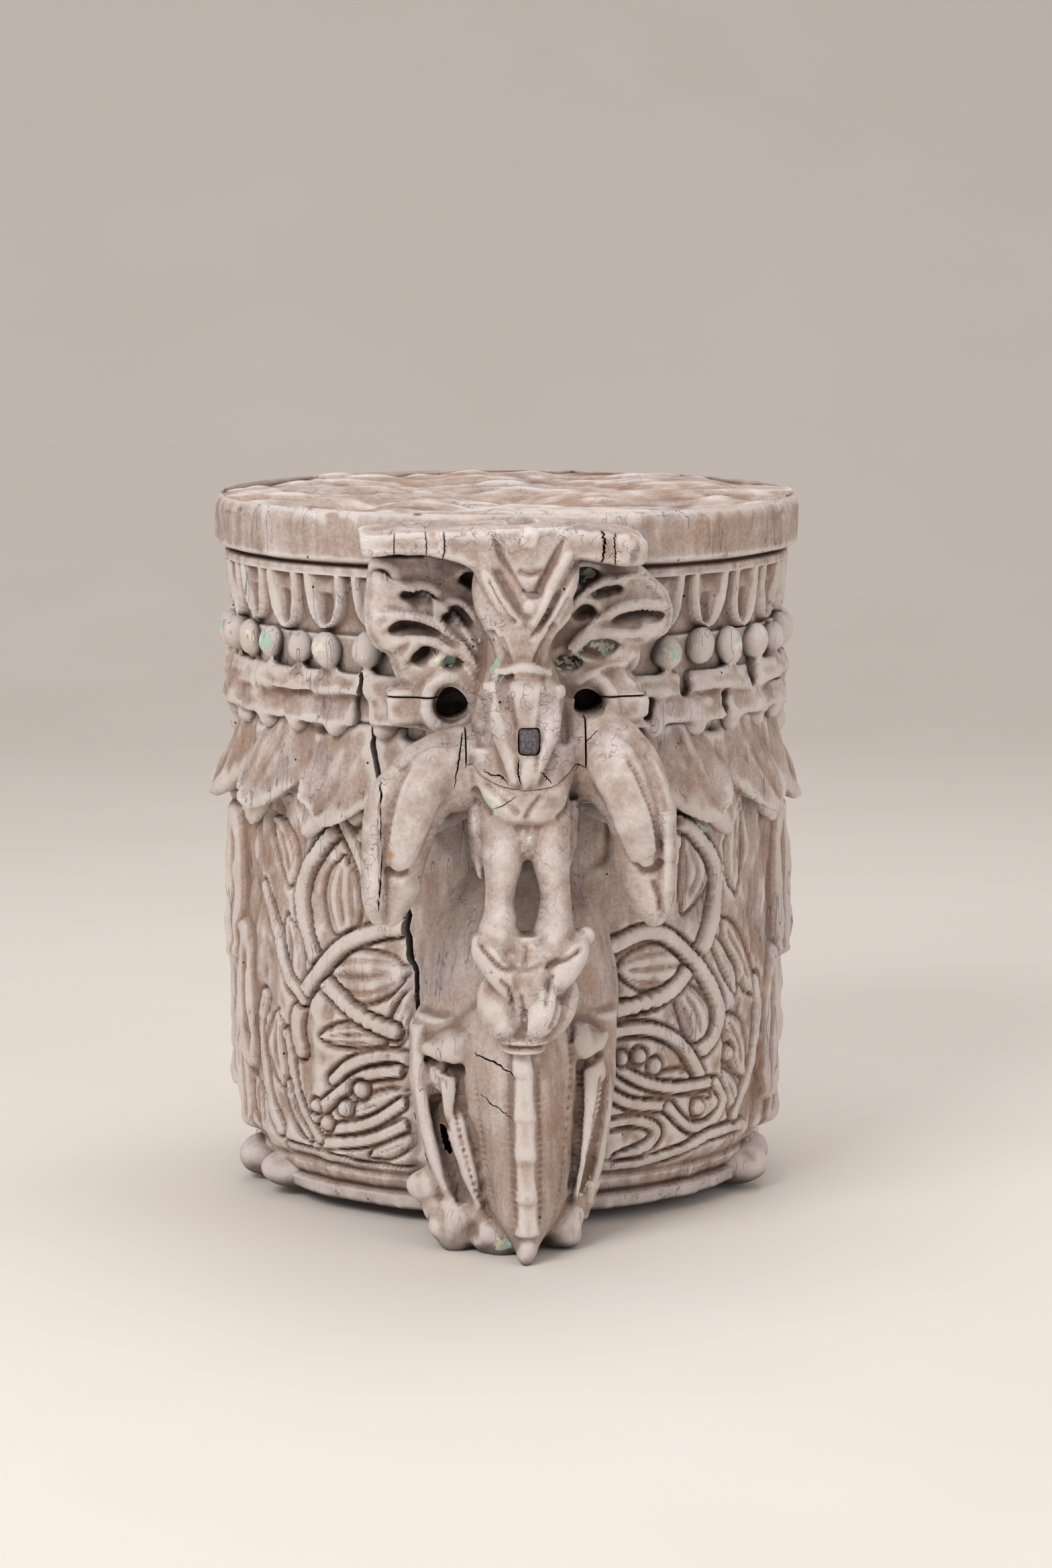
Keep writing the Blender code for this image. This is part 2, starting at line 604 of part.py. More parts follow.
def volute_fan(side):
    """A fan of leaf lobes with hollow flutes, from the neck out to the volute's outline."""
    bearings = np.radians([92, 60, 46, 31, 21, 8, -3, -12, -20, -28, -40, -52])
    reaches = np.array([0.100, 0.118, 0.145, 0.200, 0.194, 0.184, 0.180, 0.176, 0.158, 0.160, 0.150, 0.140])
    flutes = [(18, 0.078, 0.142, 5.5), (-3, 0.070, 0.152, 4.5), (-31, 0.082, 0.130, 8.0), (40, 0.05, 0.09, 8.0),
              (6, 0.040, 0.062, 9.0), (-50, 0.062, 0.094, 9.0)]
    phi = np.linspace(bearings[0], bearings[-1], 90)
    share = np.linspace(0.02, 1.0, 36)
    p, s = np.meshgrid(phi, share)
    reach = np.interp(-p, -bearings, reaches)
    r = s * reach
    front = 0.478 - 0.030 * s ** 2 + 0.006 * np.cos(p * 15.0)
    for bearing, start, end, half in flutes:
        across = (p - math.radians(bearing)) / math.radians(half)
        along = smooth(r, start - 0.006, start + 0.006) * smooth(end - r, -0.006, 0.006)
        front = front - 0.050 * along * smooth(1.0 - np.abs(across), 0.0, 0.5)
    x = side * (0.040 + r * np.cos(p))
    z = 0.860 + r * np.sin(p)
    faces = [np.stack(carved(x, np.maximum(front, SIDE_BACK + 0.006), z), axis=-1),
             np.stack(carved(x, np.full_like(x, SIDE_BACK), z), axis=-1)]
    bm = bmesh.new()
    grids = [[[bm.verts.new(q) for q in row] for row in face] for face in faces]
    rows, columns = x.shape
    for grid, flip in zip(grids, (False, True)):
        for i in range(rows - 1):
            for j in range(columns - 1):
                corner = [grid[i][j], grid[i][j + 1], grid[i + 1][j + 1], grid[i + 1][j]]
                bm.faces.new(corner[::-1] if flip else corner)
    rim = [(0, j) for j in range(columns)] + [(i, columns - 1) for i in range(1, rows)]
    rim += [(rows - 1, j) for j in range(columns - 2, -1, -1)] + [(i, 0) for i in range(rows - 2, 0, -1)]
    for (i, j), (k, m) in zip(rim, rim[1:] + rim[:1]):
        bm.faces.new((grids[0][i][j], grids[1][i][j], grids[1][k][m], grids[0][k][m]))
    bmesh.ops.recalc_face_normals(bm, faces=bm.faces)
    return bm


def ring_volute(side):
    """The ring under the fan: a thick closed hoop round the eye."""
    bm = bmesh.new()
    turns = np.linspace(0.0, 2.0 * math.pi, 40, endpoint=False)
    tube = np.linspace(0.0, 2.0 * math.pi, 16, endpoint=False)
    middle = 0.0365
    thick = 0.0130
    verts = []
    for turn in turns:
        row = []
        for q in tube:
            out = middle + thick * math.copysign(abs(math.cos(q)) ** 0.7, math.cos(q))
            deep = 0.452 + 0.034 * math.copysign(abs(math.sin(q)) ** 0.7, math.sin(q))
            row.append(bm.verts.new(place(side * 0.096 + out * math.cos(turn), deep, 0.747 + out * math.sin(turn))))
        verts.append(row)
    for i, row in enumerate(verts):
        following = verts[(i + 1) % len(verts)]
        for j, vert in enumerate(row):
            k = (j + 1) % len(row)
            bm.faces.new((vert, row[k], following[k], following[j]))
    bmesh.ops.recalc_face_normals(bm, faces=bm.faces)
    return bm


def wing_forms():
    """Both wings: an arm that arches out and down, with a front feather over a longer back feather."""
    left = [limb([(-0.050, 0.500, 0.668, 0.058, 0.060), (-0.100, 0.515, 0.668, 0.060, 0.060),
                  (-0.140, 0.525, 0.655, 0.056, 0.056), (-0.176, 0.530, 0.620, 0.050, 0.050),
                  (-0.192, 0.530, 0.556, 0.042, 0.044), (-0.198, 0.528, 0.492, 0.034, 0.038),
                  (-0.194, 0.524, 0.444, 0.014, 0.022)], sides=24, steps=36),
            limb([(-0.095, 0.555, 0.665, 0.030, 0.022), (-0.135, 0.565, 0.655, 0.034, 0.024),
                  (-0.162, 0.570, 0.615, 0.032, 0.024), (-0.176, 0.572, 0.570, 0.026, 0.022),
                  (-0.180, 0.570, 0.540, 0.016, 0.014)])]
    right = [limb([(0.050, 0.500, 0.690, 0.070, 0.060), (0.090, 0.512, 0.690, 0.072, 0.060),
                   (0.130, 0.525, 0.670, 0.060, 0.058), (0.162, 0.530, 0.625, 0.048, 0.052),
                   (0.178, 0.530, 0.561, 0.036, 0.044), (0.186, 0.528, 0.497, 0.028, 0.036),
                   (0.190, 0.524, 0.448, 0.014, 0.022)], sides=24, steps=36),
             limb([(0.095, 0.560, 0.690, 0.034, 0.022), (0.125, 0.570, 0.668, 0.036, 0.024),
                   (0.145, 0.575, 0.620, 0.030, 0.024), (0.158, 0.576, 0.570, 0.024, 0.022),
                   (0.165, 0.572, 0.538, 0.014, 0.014)])]
    return left + right


def leg_forms():
    """Belly apron, thighs, shanks, claws, lotus bud and its collar."""
    forms = [limb([(0, 0.545, 0.655, 0.070, 0.044), (0, 0.550, 0.625, 0.070, 0.048), (0, 0.550, 0.604, 0.062, 0.044)],
                  power=2.6)]
    forms.append(block((-0.078, 0.42, 0.606), (0.078, 0.52, 0.66)))
    forms.append(limb([(-0.068, 0.50, 0.62, 0.014, 0.03), (-0.068, 0.50, 0.56, 0.012, 0.03),
                       (-0.064, 0.50, 0.515, 0.006, 0.02)]))
    forms.append(limb([(0.070, 0.50, 0.62, 0.012, 0.03), (0.070, 0.50, 0.575, 0.010, 0.03),
                       (0.068, 0.50, 0.555, 0.005, 0.02)]))
    for side in (-1, 1):
        forms.append(limb([(side * 0.032, 0.550, 0.610, 0.032, 0.036), (side * 0.034, 0.555, 0.575, 0.032, 0.040),
                           (side * 0.036, 0.557, 0.540, 0.026, 0.034), (side * 0.038, 0.560, 0.515, 0.019, 0.026),
                           (side * 0.042, 0.560, 0.480, 0.024, 0.028), (side * 0.038, 0.562, 0.450, 0.030, 0.032),
                           (side * 0.024, 0.562, 0.425, 0.028, 0.030)], steps=40))
        forms.append(limb([(side * 0.066, 0.562, 0.436, 0.010, 0.016), (side * 0.052, 0.572, 0.410, 0.014, 0.020),
                           (side * 0.034, 0.576, 0.380, 0.014, 0.020), (side * 0.022, 0.570, 0.355, 0.008, 0.014)]))
    forms.append(ball(0.081, 0.560, 0.447, 0.012))
    forms.append(limb([(0, 0.560, 0.445, 0.040, 0.030), (0, 0.562, 0.410, 0.042, 0.036), (0, 0.564, 0.370, 0.036, 0.036),
                       (0, 0.562, 0.335, 0.040, 0.036), (0, 0.560, 0.305, 0.026, 0.030),
                       (0, 0.558, 0.272, 0.024, 0.028)], steps=36))
    forms += [ball(-0.050, 0.562, 0.352, 0.026, (0.8, 1.1, 1.2)), ball(0.056, 0.555, 0.362, 0.024, (0.8, 1.1, 1.1)),
              ball(0.026, 0.590, 0.345, 0.022, (1.1, 0.8, 1.1))]
    forms.append(limb([(-0.026, 0.560, 0.293, 0.009, 0.036), (0.0, 0.560, 0.293, 0.009, 0.040),
                       (0.028, 0.560, 0.293, 0.009, 0.036)]))
    return forms


def slab_forms():
    """The blunt leaf ends beside the rings."""
    return [block((-0.180, SIDE_BACK, 0.722), (-0.128, 0.462, 0.766)),
            block((0.110, SIDE_BACK, 0.722), (0.168, 0.470, 0.766))]


def nail_body(extra, name, collection):
    """The nail as a head and a tapering shank, grown by extra on every side."""
    head_centre = place(0.002, 0.617, 0.7134)
    forms = []
    bm = bmesh.new()
    size = (NAIL_HEAD_WIDTH + 2 * extra, NAIL_HEAD_THICK + 2 * extra, NAIL_HEAD_HEIGHT + 2 * extra)
    middle = head_centre + Vector((0.0, NAIL_HEAD_THICK / 2, 0.0))
    bmesh.ops.create_cube(bm, size=1.0, matrix=Matrix.Translation(middle) @ Matrix.Diagonal((*size, 1.0)))
    forms.append(bm)
    bm = bmesh.new()
    length = NAIL_LENGTH - NAIL_HEAD_THICK
    start = NAIL_HEAD_THICK / 2
    corner = math.sqrt(2.0)
    centre = head_centre + Vector((0.0, start + (length + extra) / 2, 0.0))
    turned = Matrix.Translation(centre) @ Matrix.Rotation(-math.pi / 2, 4, "X") @ Matrix.Rotation(math.pi / 4, 4, "Z")
    bmesh.ops.create_cone(bm, cap_ends=True, segments=4, radius1=(NAIL_SHANK / 2 + extra) * corner,
                          radius2=(NAIL_TIP / 2 + extra) * corner, depth=length + extra, matrix=turned)
    forms.append(bm)
    made = mesh_object(name, forms[:1], collection)
    shank = mesh_object(name + "_shank", forms[1:], collection)
    cut_with(made, shank, "UNION")
    bpy.data.objects.remove(shank)
    return made


def upper_room(grow, cutters):
    """The space of the upper block, grown by a distance in metres: all above the joint, and the tongue."""
    share = grow / min(SPREAD, HEIGHT)
    level = JOINT_BACK[1] - share
    room = mesh_object("upper_room", [block((-1.0, 0.0, level), (1.0, 1.0, 1.5))], cutters)
    slope = (JOINT_BACK[1] - JOINT_FRONT[1]) / (JOINT_FRONT[0] - JOINT_BACK[0])
    far = 0.90
    low = JOINT_BACK[1] - slope * (far - JOINT_BACK[0])
    drop = share * math.hypot(1.0, slope)
    half = TONGUE_HALF_WIDTH + share
    tongue = block((-half, JOINT_BACK[0], JOINT_BACK[1] - drop), (half, far, JOINT_BACK[1] + 0.1))
    floor = min(vert.co.z for vert in tongue.verts)
    edge = min(vert.co.y for vert in tongue.verts)
    for vert in tongue.verts:
        if vert.co.z < floor + 1e-6 and vert.co.y < edge + 1e-6:
            vert.co.z = place(0, 0, low - drop).z
    cut_with(room, mesh_object("tongue_room", [tongue], cutters), "UNION")
    room.hide_render = True
    room.display_type = "WIRE"
    return room


def build_bracket(collection, cutters):
    """Both blocks of the bracket, parted at the joint plane, with the nail's hole."""
    forms = plate_forms() + crest_forms() + wing_forms() + leg_forms() + slab_forms()
    for side in (-1, 1):
        forms.append(volute_fan(side))
        forms.append(ring_volute(side))
    whole = mesh_object("bracket_upper", forms, collection)
    fuse(whole, BRACKET_TRIANGLES)
    cut_plane(whole, place(0, 0, BUD_SEAT) + Vector((0, 0, JOINT_GAP)), (0.0, 0.0, -1.0), cutters)
    cut_plane(whole, (0.0, 0.0, HEIGHT), (0.0, 0.0, 1.0), cutters)
    back = place(0, HOUSING_FACE, 0) - Vector((0, HOUSING_CLEARANCE, 0))
    cut_plane(whole, back, (0.0, 1.0, 0.0), cutters)
    lower = whole.copy()
    lower.data = whole.data.copy()
    lower.name = "bracket_lower"
    collection.objects.link(lower)
    cut_with(whole, upper_room(-JOINT_GAP / 2, cutters), "INTERSECT")
    subtract(lower, upper_room(JOINT_GAP / 2, cutters))
    hole = nail_body(NAIL_CLEARANCE, "nail_cutter", cutters)
    subtract(whole, hole)
    subtract(lower, hole)
    tidy_body(whole)
    tidy_body(lower)
    return whole, lower


def finish(made, paint):
    """Give an object its own material."""
    made.data.materials.clear()
    made.data.materials.append(paint)


def main():
    """Build the capital."""
    clear_scene()
    pieces = new_collection("carved_wooden_capital")
    cutters = new_collection("cutters")
    drum = build_drum(pieces, cutters)
    upper, lower = build_bracket(pieces, cutters)
    nail = nail_body(0.0, "iron_nail", pieces)
    finish(drum, material("weathered_drum_wood", (0.48, 0.41, 0.35), 0.85))
    finish(upper, material("weathered_upper_block", (0.52, 0.45, 0.40), 0.82))
    finish(lower, material("weathered_lower_block", (0.50, 0.43, 0.38), 0.83))
    finish(nail, material("dark_iron", (0.09, 0.08, 0.085), 0.55, 0.8))


main()
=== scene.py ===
"""Looks of the carved wooden capital: drum, pod, leaves and beads, the two bracket blocks and the iron nail.

Forms are given as shares of the drum's height: x to the right, f forward (towards -Y) and z up, on the same
grid as the part's own source. Carving on the drum is given by its bearing from the front, in degrees, and z.
"""
import math

import bpy
import numpy as np
from mathutils import Matrix, Vector


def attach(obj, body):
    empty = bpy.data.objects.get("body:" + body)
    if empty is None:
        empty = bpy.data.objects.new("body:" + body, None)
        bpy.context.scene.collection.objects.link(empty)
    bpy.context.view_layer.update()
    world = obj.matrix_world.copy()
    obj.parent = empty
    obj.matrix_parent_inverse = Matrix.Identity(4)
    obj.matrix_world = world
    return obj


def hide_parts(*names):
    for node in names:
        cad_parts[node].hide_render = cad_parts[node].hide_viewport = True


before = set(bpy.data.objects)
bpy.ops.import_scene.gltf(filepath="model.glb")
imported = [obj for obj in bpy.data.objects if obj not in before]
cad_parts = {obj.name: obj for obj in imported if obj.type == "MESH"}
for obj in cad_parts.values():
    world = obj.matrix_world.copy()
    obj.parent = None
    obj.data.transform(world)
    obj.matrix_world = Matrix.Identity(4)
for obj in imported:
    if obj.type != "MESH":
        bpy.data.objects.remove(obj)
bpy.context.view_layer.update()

# Sizes of the drum and of the forms' grid, metres, as in the part
HEIGHT = 0.450
RIM_RADIUS = 0.1912
NECK_RADIUS = 0.1820
BODY_RADIUS = 0.1755
BASE_RADIUS = 0.1618
FOOT_DROP = 0.008
FORM_WIDTH = 0.974
FORM_REACH = 0.985
FORM_RISE = 1.0105
FORM_DROP = 0.0130
SIDE_BACK = 0.400
BUD_SEAT = 0.285
JOINT_FRONT = (0.600, 0.647)
JOINT_BACK = (0.470, 0.757)
TONGUE_HALF_WIDTH = 0.083
SEEN_GAP = 0.0006

# Heights on the drum, shares
RIM_FOOT = 0.922
FILLET_FOOT = 0.905
TONGUE_FOOT = 0.825
BEAD_LEVEL = 0.802
UPPER_SLAB = (0.740, 0.769)
LOWER_SLAB = (0.697, 0.734)
PETAL_TOP = 0.697
PETAL_TIP = 0.545
CROWN_FOOT = 0.690

# Repeats round the drum
TONGUES = 30
BEADS = 40
SLABS = 18
PETALS = 16

# Fineness, metres and counts
FINE = 0.0016
ROWS_FINE = FINE * 1.42
PETALS_FINE = FINE * 1.5
POD_FINE = FINE * 1.15
BRACKET_FINE = FINE * 1.06
DRUM_COLUMNS = 450
TRIALS = 1.0


# ---- numbers -------------------------------------------------------------------------------------------

def smooth(value, low, high):
    """0 below low, 1 above high, and an S curve between them."""
    t = np.clip((value - low) / (high - low), 0.0, 1.0)
    return t * t * (3.0 - 2.0 * t)


def dome(distance, reach):
    """A round bump: 1 at distance 0, falling as a circle's arc to 0 at reach."""
    return np.sqrt(np.clip(1.0 - (distance / reach) ** 2, 0.0, 1.0))


def ridge(distance, width):
    """A soft ridge along distance 0: a bell curve of that width."""
    return np.exp(-((distance / width) ** 2))


def scatter(number, seed):
    """A steady pseudo-random value from 0 to 1 for each whole number: the tail of a large sine."""
    wave = np.sin(number * 12.9898 + seed * 78.233) * 43758.5453
    return wave - np.floor(wave)


def cell(angle, count, shift=0.0):
    """Place within its cell, -1 to 1, and the cell's number, for a pattern of count cells round the drum."""
    turns = angle / (2.0 * math.pi) * count + shift
    number = np.floor(turns)
    return (turns - number) * 2.0 - 1.0, number


def lattice(points, seed):
    """Smooth noise from -1 to 1: random values at whole-numbered places, blended from the eight nearest."""
    base = np.floor(points)
    part = points - base
    part = part * part * (3.0 - 2.0 * part)
    total = 0.0
    for i in (0, 1):
        for j in (0, 1):
            for k in (0, 1):
                corner = base + (i, j, k)
                mark = corner[:, 0] * 127.1 + corner[:, 1] * 311.7 + corner[:, 2] * 74.7 + seed * 19.19
                value = np.sin(mark) * 43758.5453
                value = (value - np.floor(value)) * 2.0 - 1.0
                weight = np.abs(1 - i - part[:, 0]) * np.abs(1 - j - part[:, 1]) * np.abs(1 - k - part[:, 2])
                total = total + weight * value
    return total


def grid_noise(first, second, layer, seed):
    """Lattice noise over a grid: its first and second place, and one layer for the third."""
    points = np.stack([first, second, np.full_like(first, layer)], -1)
    return lattice(points.reshape(-1, 3), seed).reshape(first.shape)


def fractal(points, size, octaves, seed):
    """Noise of several sizes, each half as large and half as strong as the one before; size is in metres."""
    total = 0.0
    strength = 0.5
    scaled = points / np.asarray(size)
    for octave in range(octaves):
        total = total + strength * lattice(scaled * 2.0 ** octave, seed + 7 * octave)
        strength *= 0.5
    return total


def on_wall(reach, angle, z):
    """World places at a reach from the drum's axis, a bearing and a height, in metres and radians."""
    return np.stack([reach * np.sin(angle), -reach * np.cos(angle), z], -1)


def wall_distance(angle, centre):
    """Distance along the wall from a bearing, the short way round, in shares of the height."""
    return ((angle - centre + math.pi) % (2.0 * math.pi) - math.pi) * BODY_RADIUS / HEIGHT


# ---- bodies: (points, quads, triangles) ----------------------------------------------------------------

def carved(x, f, z):
    """World coordinates of places on the forms' grid, last axis x, y, z."""
    x, f, z = np.broadcast_arrays(np.asarray(x, float), np.asarray(f, float), np.asarray(z, float))
    return np.stack([x * FORM_WIDTH * HEIGHT, -f * FORM_REACH * HEIGHT, (z * FORM_RISE - FORM_DROP) * HEIGHT],
                    -1)


def uncarved(points):
    """Places on the forms' grid (x, f, z) of world points."""
    x = points[:, 0] / (FORM_WIDTH * HEIGHT)
    f = -points[:, 1] / (FORM_REACH * HEIGHT)
    z = (points[:, 2] / HEIGHT + FORM_DROP) / FORM_RISE
    return x, f, z


def capped(rings):
    """A closed body from rings of points: quads between the rings and a fan to a pole at each end."""
    count, sides, _ = rings.shape
    here = np.arange(count * sides).reshape(count, sides)
    after = np.roll(here, -1, axis=1)
    quads = np.stack([here[:-1], after[:-1], after[1:], here[1:]], -1).reshape(-1, 4)
    first = count * sides
    fans = [np.stack([np.full(sides, first), after[0], here[0]], -1),
            np.stack([np.full(sides, first + 1), here[-1], after[-1]], -1)]
    points = np.vstack([rings.reshape(-1, 3), rings[:1].mean(axis=1), rings[-1:].mean(axis=1)])
    return outward((points, quads, np.vstack(fans)))


def shell(front, back):
    """A closed plate between two grids of points: both grids' quads, and a rim of quads round their edges."""
    rows, columns, _ = front.shape
    size = rows * columns
    grid = np.arange(size).reshape(rows, columns)
    face = np.stack([grid[:-1, :-1], grid[:-1, 1:], grid[1:, 1:], grid[1:, :-1]], -1).reshape(-1, 4)
    rim = np.concatenate([grid[0, :-1], grid[:-1, -1], grid[-1, :0:-1], grid[:0:-1, 0]])
    after = np.roll(rim, -1)
    walls = np.stack([after, rim, rim + size, after + size], -1)
    quads = np.vstack([face, face[:, ::-1] + size, walls])
    points = np.vstack([front.reshape(-1, 3), back.reshape(-1, 3)])
    return outward((points, quads, np.zeros((0, 3), int)))


def outward(body):
    """The body with its faces pointing out: all turned round where its signed volume is negative."""
    points, quads, triangles = body
    a, b, c, d = (points[quads[:, i]] for i in range(4))
    volume = np.einsum("ij,ij->i", np.cross(b - a, c - a), a).sum() + np.einsum(
        "ij,ij->i", np.cross(c - a, d - a), a).sum()
    if len(triangles):
        e, g, h = (points[triangles[:, i]] for i in range(3))
        volume += np.einsum("ij,ij->i", np.cross(g - e, h - e), e).sum()
    if volume < 0.0:
        return points, quads[:, ::-1], triangles[:, ::-1]
    return body


def joined(bodies):
    """Several bodies as one, each with its own points."""
    starts = np.cumsum([0] + [len(body[0]) for body in bodies[:-1]])
    points = np.vstack([body[0] for body in bodies])
    quads = np.vstack([body[1] + start for body, start in zip(bodies, starts)])
    triangles = np.vstack([body[2] + start for body, start in zip(bodies, starts)])
    return points, quads, triangles


def spline(stations, steps):
    """Smooth values through the stations (Catmull-Rom), one row for each of steps places."""
    values = np.array(stations, dtype=float)
    count = len(values)
    t = np.linspace(0.0, count - 1.0, steps)
    i = np.clip(t.astype(int), 0, count - 2)
    u = (t - i)[:, None]
    before = values[np.clip(i - 1, 0, count - 1)]
    first = values[i]
    second = values[i + 1]
    after = values[np.clip(i + 2, 0, count - 1)]
    return (first + 0.5 * u * (second - before + u * (2 * before - 5 * first + 4 * second - after
            + u * (3 * (first - second) + after - before))))


def limb(stations, sides=32, steps=48, power=2.0):
    """A body round a path: each station is x, f, z, half width across the path and half depth along f, and
    each cross-section is a rounded box, |w|^power + |d|^power = 1."""
    path = spline(stations, steps)
    tangent = np.gradient(path[:, :3], axis=0)
    tangent[:, 1] = 0.0
    tangent /= np.maximum(np.linalg.norm(tangent, axis=1), 1e-6)[:, None]
    turn = np.linspace(0.0, 2.0 * math.pi, sides, endpoint=False)
    wide = np.sign(np.cos(turn)) * np.abs(np.cos(turn)) ** (2.0 / power)
    deep = np.sign(np.sin(turn)) * np.abs(np.sin(turn)) ** (2.0 / power)
    half = np.maximum(path[:, 3:5], 0.0006)
    x = path[:, 0:1] + half[:, 0:1] * wide * tangent[:, 2:3]
    f = path[:, 1:2] + half[:, 1:2] * deep
    z = path[:, 2:3] - half[:, 0:1] * wide * tangent[:, 0:1]
    return capped(carved(x, f, z))


def ball(x, f, z, radius, stretch=(1.0, 1.0, 1.0), sides=28):
    """An ellipsoid: rings of sin and cos, radius as a share, stretched along x, f and z."""
    down = np.linspace(0.06, math.pi - 0.06, sides // 2)[:, None]
    turn = np.linspace(0.0, 2.0 * math.pi, sides, endpoint=False)
    unit = np.stack(np.broadcast_arrays(np.sin(down) * np.cos(turn), np.sin(down) * np.sin(turn),
                                        np.cos(down)), -1)
    return capped(carved(x, f, z) + unit * radius * HEIGHT * np.array(stretch))


def block(low, high):
    """A box between two corners (x, f, z) in shares."""
    x = np.array([[low[0], high[0]], [low[0], high[0]]])
    z = np.array([[low[2], low[2]], [high[2], high[2]]])
    return shell(carved(x, high[1], z), carved(x, low[1], z))


def blade(path, half, back, front, wander=0.0, seed=1, steps=40, power=0.6):
    """A thin closed wedge for a crack: a path of (x, z) that wanders by a noise, its half width growing from
    nothing at the ends as sin^power, pushed through from f = back to f = front."""
    line = spline(path, steps)
    step = np.gradient(line, axis=0)
    side = np.stack([step[:, 1], -step[:, 0]], -1) / np.maximum(np.linalg.norm(step, axis=1), 1e-6)[:, None]
    place = np.arange(steps, dtype=float)[:, None] * np.array([[0.55, 0.0, 0.0]]) + seed * 3.7
    line = line + side * (wander * (lattice(place, seed) + 0.5 * lattice(place * 2.3, seed + 1)))[:, None]
    width = half * np.sin(np.linspace(0.04, math.pi - 0.04, steps)) ** power
    width = width * (1.0 + 0.35 * lattice(place * 1.7, seed + 5))
    left = line - side * width[:, None]
    right = line + side * width[:, None]
    x = np.stack([left[:, 0], right[:, 0], right[:, 0], left[:, 0]], 1)
    z = np.stack([left[:, 1], right[:, 1], right[:, 1], left[:, 1]], 1)
    f = np.broadcast_to(np.array([back, back, front, front]), x.shape)
    return capped(carved(x, f, z))


# ---- meshes --------------------------------------------------------------------------------------------

def mesh_of(name, body):
    """A mesh from a body's whole arrays."""
    points, quads, triangles = body
    mesh = bpy.data.meshes.new(name)
    corners = np.concatenate([quads.ravel(), triangles.ravel()]).astype(np.int32)
    lengths = np.concatenate([np.full(len(quads), 4), np.full(len(triangles), 3)])
    mesh.vertices.add(len(points))
    mesh.vertices.foreach_set("co", points.astype(np.float32).ravel())
    mesh.loops.add(len(corners))
    mesh.loops.foreach_set("vertex_index", corners)
    mesh.polygons.add(len(lengths))
    mesh.polygons.foreach_set("loop_start", (np.cumsum(lengths) - lengths).astype(np.int32))
    mesh.update(calc_edges=True)
    mesh.validate()
    return mesh


def new_object(name, body):
    """An object at the origin that holds a body."""
    made = bpy.data.objects.new(name, mesh_of(name, body))
    bpy.context.scene.collection.objects.link(made)
    return made


def apply_modifiers(made):
    """Turn the object's modifiers into its mesh."""
    graph = bpy.context.evaluated_depsgraph_get()
    mesh = bpy.data.meshes.new_from_object(made.evaluated_get(graph))
    made.modifiers.clear()
    old = made.data
    made.data = mesh
    bpy.data.meshes.remove(old)


def fused(name, bodies, pitch):
    """Overlapping bodies joined into one skin of even quads."""
    made = new_object(name, joined(bodies))
    remesh = made.modifiers.new("fuse", "REMESH")
    remesh.mode = "VOXEL"
    remesh.voxel_size = pitch * TRIALS
    apply_modifiers(made)
    return made


def combine(made, other, operation):
    """Cut a closed mesh with another object's, or join them or keep what they share; the other is used up."""
    tool = made.modifiers.new("cut", "BOOLEAN")
    tool.operation = operation
    tool.solver = "MANIFOLD"
    tool.object = other
    apply_modifiers(made)
    old = other.data
    bpy.data.objects.remove(other)
    bpy.data.meshes.remove(old)


def cut_with(made, body, operation="DIFFERENCE"):
    """Cut a body out of a closed mesh, or join it on."""
    combine(made, new_object("cutter", body), operation)


def read_points(made):
    """The mesh's points, and its normals there, as arrays."""
    count = len(made.data.vertices)
    points = np.empty(count * 3, np.float32)
    normals = np.empty(count * 3, np.float32)
    made.data.vertices.foreach_get("co", points)
    made.data.vertices.foreach_get("normal", normals)
    return points.reshape(-1, 3).astype(float), normals.reshape(-1, 3).astype(float)


def write_points(made, points):
    """Put changed points back into the mesh."""
    made.data.vertices.foreach_set("co", points.astype(np.float32).ravel())
    made.data.update()


def edge_ends(made):
    """The two point numbers of every edge."""
    ends = np.empty(len(made.data.edges) * 2, np.int32)
    made.data.edges.foreach_get("vertices", ends)
    return ends[::2], ends[1::2]


def evened(points, ends, rounds):
    """Points moved to the mean of themselves and their neighbours, again and again."""
    first, second = ends
    count = len(points)
    share = 1.0 + np.bincount(first, minlength=count) + np.bincount(second, minlength=count)
    for _ in range(rounds):
        moved = points.copy()
        for axis in range(points.shape[1]):
            column = points[:, axis]
            moved[:, axis] += np.bincount(first, column[second], count) + np.bincount(second, column[first],
                                                                                      count)
        points = moved / share[:, None]
    return points


def set_value(made, name, values):
    """Store one number a point as an attribute that the materials read."""
    attribute = made.data.attributes.new(name, "FLOAT", "POINT")
    attribute.data.foreach_set("value", np.asarray(values, np.float32))


def mark_hollows(made):
    """Attribute hollow: how far the evened surface lies outside (hollow, above 0) or inside (edge)."""
    points, normals = read_points(made)
    ends = edge_ends(made)
    near = evened(points, ends, 6)
    far = evened(near, ends, 22)
    depth = np.einsum("ij,ij->i", near - points, normals) + 0.6 * np.einsum("ij,ij->i", far - points, normals)
    set_value(made, "hollow", np.clip(depth / 0.0016, -1.5, 1.5))


def dabs(points, places):
    """Soft spots: for each (x, f, z, size, strength) on the forms' grid, a bell round that place, half as
    sharp along f; the strongest counts."""
    x, f, z = uncarved(points)
    mask = np.zeros(len(points))
    for px, pf, pz, size, strength in places:
        distance = np.sqrt((x - px) ** 2 + (z - pz) ** 2 + 0.3 * (f - pf) ** 2)
        mask = np.maximum(mask, strength * ridge(distance, size))
    return mask


